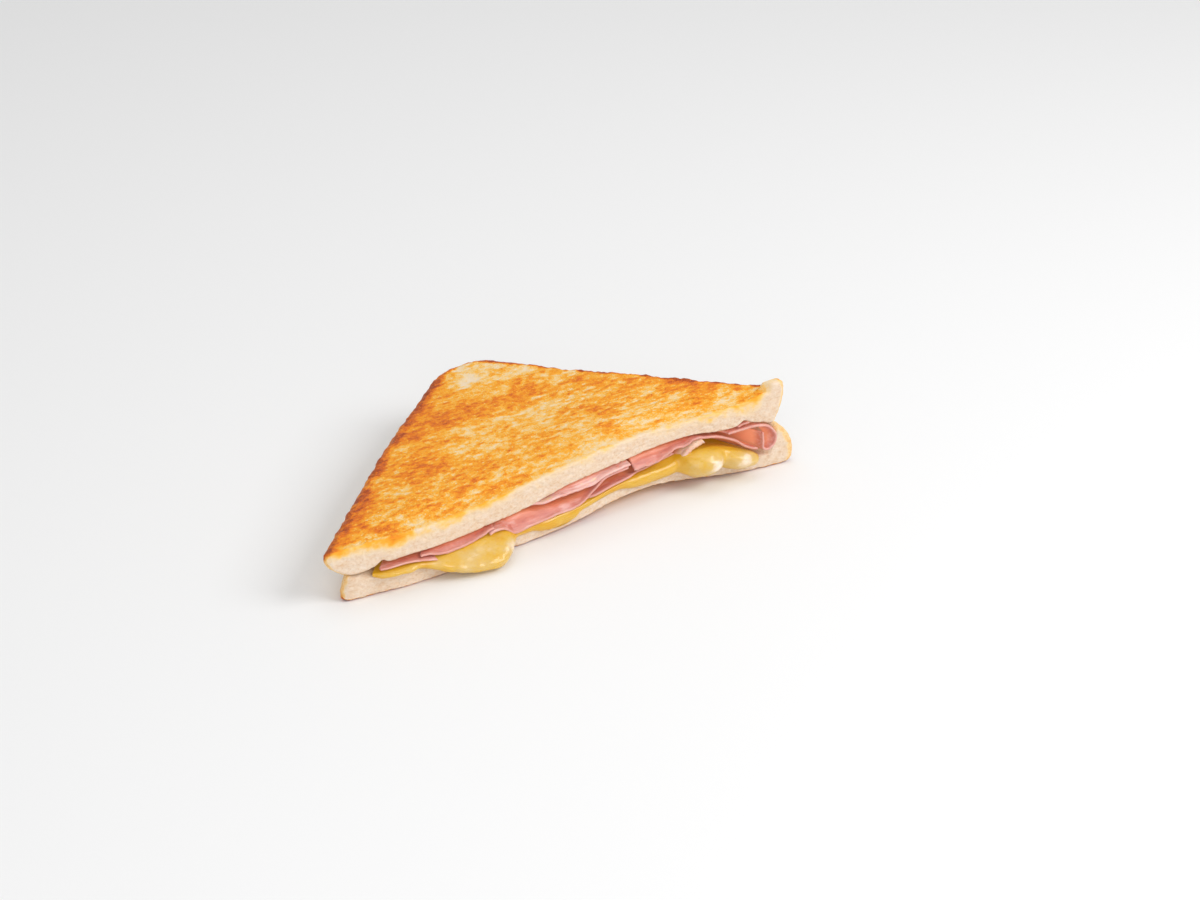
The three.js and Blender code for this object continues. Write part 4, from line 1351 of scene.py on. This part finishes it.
def cheese_tone_and_highlights(grid):
    """More with the distance out of the cut, plus noise, plus a painted highlight: a bell at each place in
    the table.
    """
    x, y, z = np.moveaxis(grid, -1, 0)
    painted_highlight = sum(more * bell(x, at, reach) * bell(z, high, HIGHLIGHT_REACH_UP) for at, high, reach, more in PAINTED_CHEESE_HIGHLIGHTS)
    hanging_out = PALE_OUT * smooth(-y / PALE_REACH)
    return clamp(PALE_LEAST + hanging_out + layered(grid, PALE_CLOUDS) + painted_highlight * smooth(-y))


def cheese_piece():
    """The sheet, plus ripples times normal where it hangs out of the cut and over the floor."""
    grid = cheese_grid()
    ripples = layered(grid, RIPPLES)
    hanging = smooth(-grid[..., 1] / RIPPLES_OUT) * smooth(grid[..., 2] / RIPPLES_UP)
    pale = cheese_tone_and_highlights(grid)
    grid = grid - normals_of(grid) * (ripples * hanging)[..., None] * facing(grid)
    points = swayed(grid.reshape(-1, 3))
    faces = [grid_faces(*grid.shape[:2]), *zipped_section(*grid.shape[:2])]
    return dressed("Melted_cheese", "cheese", points, faces, MELTED, {"pale": pale})


print("made:", cheese_piece().name)

# %% [markdown]
# ## Ham: the material
# Cooked ham is pink and moist, with paler fibres that run along the slice. Its cut
# edges are paler than its face. Deep in the folds the light that comes through the meat
# turns orange, and that light is painted: an orange tone in the deep places, and a
# painted glow where a fold lies open. One flat pink would look like plastic, so the tone
# wanders along a ramp, and marks say where the edges and the deep places are.

# %% Ham material
HAM_TONES = (
    (0.0, 190, 80, 62), (0.4, 216, 120, 98), (0.7, 234, 178, 170), (0.9, 238, 190, 182), (1.0, 246, 210, 172),
)
# painted light: the orange of light through the meat, put on the deep places
HAM_EDGE, EDGE_PALER, HAM_DEEP_PAINTED_LIGHT = (240, 192, 180), 0.6, (236, 138, 94)
# painted glow: emission in an open fold, for light that shines through the meat
NO_GLOW, PAINTED_FOLD_GLOW_TONE = (0.0, 0.0, 0.0, 1.0), (0.27, 0.15, 0.09, 1.0)


def ham_material():
    """The tone is `pale` plus fibres and clouds, then paler at an edge, painted orange deep inside, and given
    a painted glow in an open fold.
    """
    material, tree = new_material("Cooked ham")
    edge, deep, pale, painted_fold_glow = (mark(tree, name) for name in ("edge", "deep", "pale", "painted_fold_glow"))
    fibres = mottle(tree, (0.25, 1.0, 1.0), 900.0, 1.1)
    clouds = mottle(tree, (0.5, 1.0, 1.0), 220.0, 1.0)
    face = ramp(tree, total(tree, total(tree, clouds, fibres), pale, clamped=True), HAM_TONES)
    paler = blended(tree, maths(tree, "MULTIPLY", edge, EDGE_PALER), face, colour(*HAM_EDGE))
    finish_material(
        tree, base_color=blended(tree, deep, paler, colour(*HAM_DEEP_PAINTED_LIGHT)), roughness=0.42,
        normal=bumps(tree, fibres, strength=0.25, depth=0.0003), subsurface_weight=0.3,
        subsurface_radius=(0.003, 0.0012, 0.0008), coat_weight=0.12, coat_roughness=0.2,
        emission_color=blended(tree, maths(tree, "MULTIPLY", deep, painted_fold_glow), NO_GLOW, PAINTED_FOLD_GLOW_TONE),
        emission_strength=1.0,
    )
    return material


HAM = ham_material()
print("ham material:", len(HAM.node_tree.nodes), "nodes")

# %% [markdown]
# ## Ham: the paths
# A slice of ham is a sheet that follows a path along the cut, goes back into the
# sandwich, and hangs over its front edge. Cloth could be dropped over the cheese, but
# each fold has its place here. So each slice has a path of knots (along the cut,
# height), listed one by one where it folds, or at one distance from its neighbour where
# it doesn't. Helpers write the second kind.

# %% Helpers for paths
HAM_THICKNESS, HAM_BELOW_BREAD = 0.85, 0.85
TUCK_FADE = 2.0


def path_of(height, first, last, count):
    """Knots at equal steps along the cut, each at the height there."""
    x = np.linspace(first, last, count + 1)
    return np.stack([x, height(x)], axis=-1)


def under(first, last, tucked=0.0, count=8):
    """A path that follows the upper slice from below, with its left end tucked up."""

    def height(x):
        """The slice's height less one distance, plus the tuck, which fades as exp(-x) does."""
        return upper_at_cut(x) - HAM_BELOW_BREAD + tucked * np.exp((first - x) / TUCK_FADE)

    return path_of(height, first, last, count)


def over(first, last, above, count=6):
    """A path that follows the cheese from above."""
    return path_of(lambda x: cheese_at_cut(x) + above, first, last, count)


def always(value):
    """A curve that is level everywhere."""
    return through((0, value), (1, value))


print("a path under the bread starts at", under(0.0, 10.0)[0].round(1))

# %% [markdown]
# ## Ham: the slices
# Nine slices and scraps of ham lie in the filling. Each has its path, and `out` and
# `hang` say how far its front edge stands out and hangs down, as curves along the cut.
# The rest sets it apart: layers, a torn edge, or a paler tone.

# %% Sizes of the slices
HAM_SLICES = {
    "ham_left_low": dict(
        path=((-66.6, 8.5), (-62, 8.55), (-58, 8.65), (-54, 8.45), (-51, 7.9), (-48.8, 7.3)),
        out=through((-58, 1.1), (-50, 2.0)), hang=through((-58, 0.2), (-50, 0.4)), depth=0.75, thick=0.6,
    ),
    "ham_left": dict(
        path=under(-53.8, -28.4), out=always(0.9), pale=0.22,
        hang=through((-54, 0.1), (-51, 0.3), (-46, 1.6), (-34, 1.4), (-28, 0.2)),
    ),
    "ham_middle": dict(
        path=((-30.2, 8.3), (-28.4, 9.0), (-25.5, 9.6), (-22, 9.8), (-16, 9.6), (-8, 8.6),
              (0.5, 8.4), (5, 9.3), (8, 10.5), (11, 12.2), (14, 12.8), (20.5, 12.9)),
        out=through((-30, 1.4), (-22, 1.5), (-6, 0.9), (8, 0.6), (12, 0.4)),
        hang=through((-30, 0.2), (-25, 1.2), (-22, 3.7), (-16, 3.4), (-8, 1.9), (2.5, 1.6),
                     (5.2, 0.8), (7, 0.2)),
    ),
    "ham_upper": dict(
        path=under(-15.5, 21.2, 1.2), out=through((-15.5, -0.8), (-10, 0.8)), layers=3, pale=0.77,
        hang=through((-15, 0), (-9.5, 0.1), (-5.5, 0.7), (-2, 1.4), (7.3, 2.1), (12, 0.8), (21, 0.9)),
    ),
    "ham_under": dict(
        path=over(3.5, 38, 0.85), out=through((3.5, -0.4), (8, 0.8), (20, 0.8), (25, -0.6)),
        hang=always(0.1),
    ),
    "ham_right": dict(
        path=((22.4, 14.5), (32, 15.0), (40, 15.8), (45, 15.9), (48.5, 15.1), (52.9, 14.2),
              (55.4, 13.2), (58.2, 11.8), (60.6, 9.9), (63, 8.5), (65.2, 7.9)),
        out=through((22, 0.9), (40, 0.9), (46, 0.6), (65, 0.9)), torn=0.3, layers=2, pale=0.29,
        hang=through((22, 3.2), (31, 3.4), (36, 1.8), (41, 1.6), (46, 0.1)),
    ),
    "ham_fold": dict(
        path=((55.2, 15.0), (60, 15.4), (65, 15.5), (68.6, 14.6), (71, 12.2), (71.6, 9.9),
              (70.8, 7.6), (68.8, 6.5), (67.3, 7.4), (67.2, 9.5), (66.9, 12.9)),
        out=always(0.7), hang=always(0.0), depth=0.7, pale=0.42, painted_fold_glow=1.0,
    ),
    "ham_scrap": dict(
        path=((58.9, 16.2), (60.4, 16.8), (62.6, 16.9)), out=always(0.2), hang=always(0.0),
        depth=0.1, thick=0.5,
    ),
    "ham_rind": dict(
        path=((39.4, 10.9), (41.6, 12.8), (44.2, 14.2), (46.8, 15.0)), out=always(1.9),
        hang=always(0.5), depth=0.05, thick=1.6, torn=0.8, lumpy=12.0, pale=1.15,
    ),
}
print(len(HAM_SLICES), "slices and scraps of ham")

# %% [markdown]
# ## Ham: from the path into the filling
# The knots are joined by a curve that doesn't overshoot where they stand unevenly, as a
# plain spline would in the tight loop. Further in, a slice keeps its place between the
# cheese and the upper slice: its height is a share of the room there, and that share is
# carried back along the fan.

# %% A curve through the knots, and the way back
KNOT_STEPS, MEASURING_STEPS = 60, 200
CLEAR, CLEAR_DEEP = 0.3, 0.66


def spline(knots, count):
    """A curve through the knots, in `count` equal steps.

    Each span is a cubic. Its steps are measured by the root of their length, and the
    slope at a knot is that of the parabola through it and its two neighbours.
    """
    p = np.array(knots, float)
    p = np.concatenate([[2 * p[0] - p[1]], p, [2 * p[-1] - p[-2]]])
    d = np.sqrt(np.hypot(*np.diff(p, axis=0).T))[:, None]
    rate = np.diff(p, axis=0) / d
    slope = rate[:-1] + rate[1:] - (p[2:] - p[:-2]) / (d[:-1] + d[1:])
    t = np.linspace(0, 1, KNOT_STEPS)[:, None]
    spans = []
    for a, b, ma, mb, h in zip(p[1:-2], p[2:-1], slope[:-1], slope[1:], d[1:-1]):
        spans.append(mix(a, b, smooth(t)) + h * t * (1 - t) * (ma * (1 - t) - mb * t))
    return resampled(np.concatenate(spans), count, closed_end=True)


def room_for_ham(x, y):
    """The lowest and the highest place between the cheese and the upper slice."""
    clear = mix(CLEAR, CLEAR_DEEP, clamp(y / DEEP))
    return cheese_top(x, y) + clear, upper_inner(x, y) - clear


def carried_back(x, y, z):
    """A height at the cut, as a share of the room there, and the same share at depth y."""
    in_x, in_y = squeezed_x(x, y), np.maximum(0, y)
    low_cut, high_cut = room_for_ham(x, 0 * x)
    low_in, high_in = room_for_ham(in_x, in_y)
    return in_x, mix(low_in, high_in, (z - low_cut) / (high_cut - low_cut))


def length_of(knots):
    """The length of the curve through the knots: the sum of many short steps."""
    return np.hypot(*np.diff(spline(knots, MEASURING_STEPS), axis=0).T).sum()


print(f"the loop at the right tip is {length_of(HAM_SLICES['ham_fold']['path']):.0f} mm long along its path")

# %% [markdown]
# ## Ham: the sheet
# The middle of the sheet is worked out first: rows from deep inside to the front edge,
# which is ragged and hangs over. Wrinkles, folds and, where slices lie on each other,
# their lines are added to it. Only the front gets them, because deeper in the slices
# are pressed flat.

# %% The middle of a sheet
COLUMN_STEP, LEAST_COLUMNS = 0.16, 24
BACK_ROWS, HANG_ROWS, HANG_POWER = 12, 40, 0.9
HANG_START, HAM_MARGIN, BACK_LEAST = 2.4, FILL_MARGIN + 0.4, 0.6
TEARS, TEAR_OUT = ((0.6, 2.4, 71), (0.4, 0.9, 72)), 0.4
WRINKLES, WRINKLE_OUT = ((0.14, (6, 6, 4), 73),), 0.6
LUMPS, FOLDS = ((0.02, (1.6, 2.0, 1.6), 74),), ((0.11, (5, 30, 30), 75),)
LAYER_LINE, LAYER_TURNS = 0.08, ((0.8, (9, 9, 9), 76),)


def sheet_middle(path, out, hang, depth, torn, layers, lumpy, seed):
    """The middle of a sheet, and y before its wrinkles.

    Each row is the path, set back by y and carried into the filling. In front it drops
    by `hang`, and noise moves it there: wrinkles up and out, folds and lines out.
    """
    route = spline(path, max(LEAST_COLUMNS, int(length_of(path) / COLUMN_STEP)))
    x, z = route[:, 0][:, None], route[:, 1][:, None]
    spot = np.concatenate([x, 0 * x, z], axis=1)
    ragged = torn * layered(spot, TEARS, seed)[:, None]
    front = -out(x) - TEAR_OUT * ragged
    drop = np.maximum(0, hang(x) + ragged * smooth(hang(x)))
    back_to = np.maximum(HANG_START + BACK_LEAST, fill_back(x, HAM_MARGIN) * depth)
    y = np.concatenate([
        mix(back_to, HANG_START, np.linspace(0, 1, BACK_ROWS, endpoint=False)),
        mix(HANG_START, front, np.linspace(0, 1, HANG_ROWS) ** HANG_POWER),
    ], axis=1)
    in_x, in_z = carried_back(x, y, z)
    lip = smooth((HANG_START - y) / (HANG_START - front))
    middle = np.dstack([in_x, y, in_z - drop * lip])
    wrinkle = layered(middle, WRINKLES, seed) + lumpy * layered(middle, LUMPS, seed)
    folds = layered(middle, FOLDS, seed)
    turns = layers * lip + layered(middle, LAYER_TURNS, seed)
    lines = LAYER_LINE * np.sin(2 * np.pi * turns) * min(layers, 1)
    middle[..., 2] += wrinkle * lip
    middle[..., 1] -= (wrinkle * WRINKLE_OUT + folds + lines) * lip
    return middle, y


print("rows from deep inside to the front edge:", BACK_ROWS + HANG_ROWS)

# %% [markdown]
# ## Ham: the two faces
# Half a thickness to either side of the middle makes a slice of even thickness, as the
# Solidify modifier would. Made here, the edge can close round like a half circle, and
# the marks can be worked out at the same time.

# %% The two faces of a sheet
EDGE_TURN, EDGE_LEAST = 0.55, 0.02
RIM_WIDTH, ENDS_FURTHER = 0.9, 0.2


def ham_sheet(thick=HAM_THICKNESS, depth=1.0, torn=0.14, layers=0, lumpy=1.0, **sizes):
    """The two faces of a slice of ham, as one closed ring of rows round its middle.

    Each face is the middle plus or minus half a thickness times the normal, less near the
    edge as on a quarter circle. Returns the ring, how near the edge each point is, from 1
    down to 0, where both ends count as a little further away, and each point's y.
    """
    middle, y = sheet_middle(depth=depth, torn=torn, layers=layers, lumpy=lumpy, **sizes)
    normal = normals_of(middle, wrap=False)
    count = len(middle)
    from_front = np.linalg.norm(middle - middle[:, -1:], axis=-1)
    from_ends = COLUMN_STEP * np.minimum(np.arange(count), np.arange(count)[::-1])[:, None]
    near_edge = clamp(1 - np.minimum(from_front, from_ends) / (EDGE_TURN * thick))
    half = thick / 2 * np.sqrt(np.maximum(EDGE_LEAST, 1 - near_edge**2))[..., None]
    ring = np.concatenate([middle + normal * half, (middle - normal * half)[:, ::-1]], axis=1)
    rim = np.exp(-np.minimum(from_front, from_ends + ENDS_FURTHER) / RIM_WIDTH)
    both_faces = [np.concatenate([values, values[:, ::-1]], axis=1) for values in (rim, y)]
    return ring, *both_faces


print(f"a slice is {HAM_THICKNESS} mm thick, and rounded over {EDGE_TURN * HAM_THICKNESS:.2f} mm at its edge")

# %% [markdown]
# ## Ham: the pieces
# Each slice becomes a piece of its own, so that it can be picked up or left out. Its
# marks follow from the sheet: the edge, the depth inside, where it is painted orange, how
# pale this slice is, and how strong the painted glow in its fold is, which fades further in.

# %% The pieces of ham
DEEP_START, DEEP_OVER, GLOW_DEPTH = 0.2, 2.4, 9.0
SEED_STEP = 100


def ham_piece(node, seed, pale=0.4, painted_fold_glow=0.3, **sizes):
    """A slice's sheet, bent as the cut is. The painted glow in its fold fades inwards as a bell does."""
    ring, edge, y = ham_sheet(seed=seed, **sizes)
    faces = [grid_faces(*ring.shape[:2]), *zipped_section(*ring.shape[:2])]
    name = node.replace("ham", "Ham", 1)
    marks = {
        "edge": edge, "deep": smooth((y - DEEP_START) / DEEP_OVER), "pale": 0 * y + pale,
        "painted_fold_glow": painted_fold_glow * bell(np.maximum(0, y), 0, GLOW_DEPTH),
    }
    return dressed(name, node, swayed(ring.reshape(-1, 3)), faces, HAM, marks)


for number, (node, slice_sizes) in enumerate(HAM_SLICES.items()):
    ham_piece(node, SEED_STEP * number, **slice_sizes)

# %% [markdown]
# ## The floor
# The sandwich lies on a plain pale floor. It is a bare square, large enough to fill the
# view from every side, and a hair lower than the bread, so that the two don't flicker
# through each other.

# %% Floor
FLOOR_SIZE, FLOOR_BELOW = 6.0, 0.0002
FLOOR_TONE = (0.86, 0.86, 0.86, 1.0)


def floor_piece():
    """A square whose corners are half its size from the middle, each way."""
    material, tree = new_material("Pale floor")
    finish_material(tree, base_color=FLOOR_TONE, roughness=0.6)
    half = FLOOR_SIZE / 2
    corners = [(-half, -half), (half, -half), (half, half), (-half, half)]
    mesh = bpy.data.meshes.new("Floor")
    mesh.from_pydata([(*corner, -FLOOR_BELOW) for corner in corners], [], [(0, 1, 2, 3)])
    mesh.materials.append(material)
    made = bpy.data.objects.new("Floor", mesh)
    bpy.context.collection.objects.link(made)
    return made


floor = floor_piece()
print("floor:", FLOOR_SIZE, "m square")

# %% [markdown]
# ## Light
# Small lamps would draw hard shadows that nobody wants on food. A white world lights
# all sides, and three large soft lamps give it shape. The key lamp stands on the right,
# where it draws the highlights on the cheese.

# %% Lamps and world
WORLD_LIGHT = 0.52
LAMPS = (
    # name, place in metres, size, power
    ("Key", (0.50, -0.50, 0.62), 0.50, 4.4),
    ("Front", (-0.45, -0.75, 0.35), 0.70, 2.5),
    ("Top", (0.0, 0.20, 0.90), 0.80, 2.0),
)
AIM = Vector((0, 0, 0.015))


def soft_lamp(name, place, size, power):
    """A square lamp that faces the middle of the sandwich. Its place is in metres."""
    lamp = bpy.data.lights.new(name, "AREA")
    lamp.energy, lamp.size = power, size
    holder = bpy.data.objects.new(name, lamp)
    holder.location = place
    holder.rotation_euler = (AIM - Vector(place)).to_track_quat("-Z", "Y").to_euler()
    bpy.context.collection.objects.link(holder)


for lamp_sizes in LAMPS:
    soft_lamp(*lamp_sizes)
world = bpy.data.worlds.new("Studio")
world.use_nodes = True
world.node_tree.nodes["Background"].inputs["Color"].default_value = (1.0, 1.0, 1.0, 1.0)
world.node_tree.nodes["Background"].inputs["Strength"].default_value = WORLD_LIGHT
bpy.context.scene.world = world
bpy.context.scene.view_settings.view_transform = "Standard"
print("lamps:", ", ".join(name for name, *_ in LAMPS))

# %% [markdown]
# ## The camera's place
# The camera was worked out at the start, in the frame of the shapes. It is moved over
# as they were, and its three directions make the columns of its matrix. A long lens
# keeps the two tips at nearly one size.

# %% Camera
lens = bpy.data.cameras.new("Camera")
lens.sensor_width, lens.lens = SENSOR, FOCAL_PIXELS / IMAGE_WIDTH * SENSOR
camera = bpy.data.objects.new("Camera", lens)
directions = Matrix(np.stack([right, up, back], axis=1)).to_4x4()
camera.matrix_world = Matrix.Translation(fitted(eye) * MM) @ directions
bpy.context.collection.objects.link(camera)
bpy.context.scene.camera = camera
print(f"lens: {lens.lens:.1f} mm")
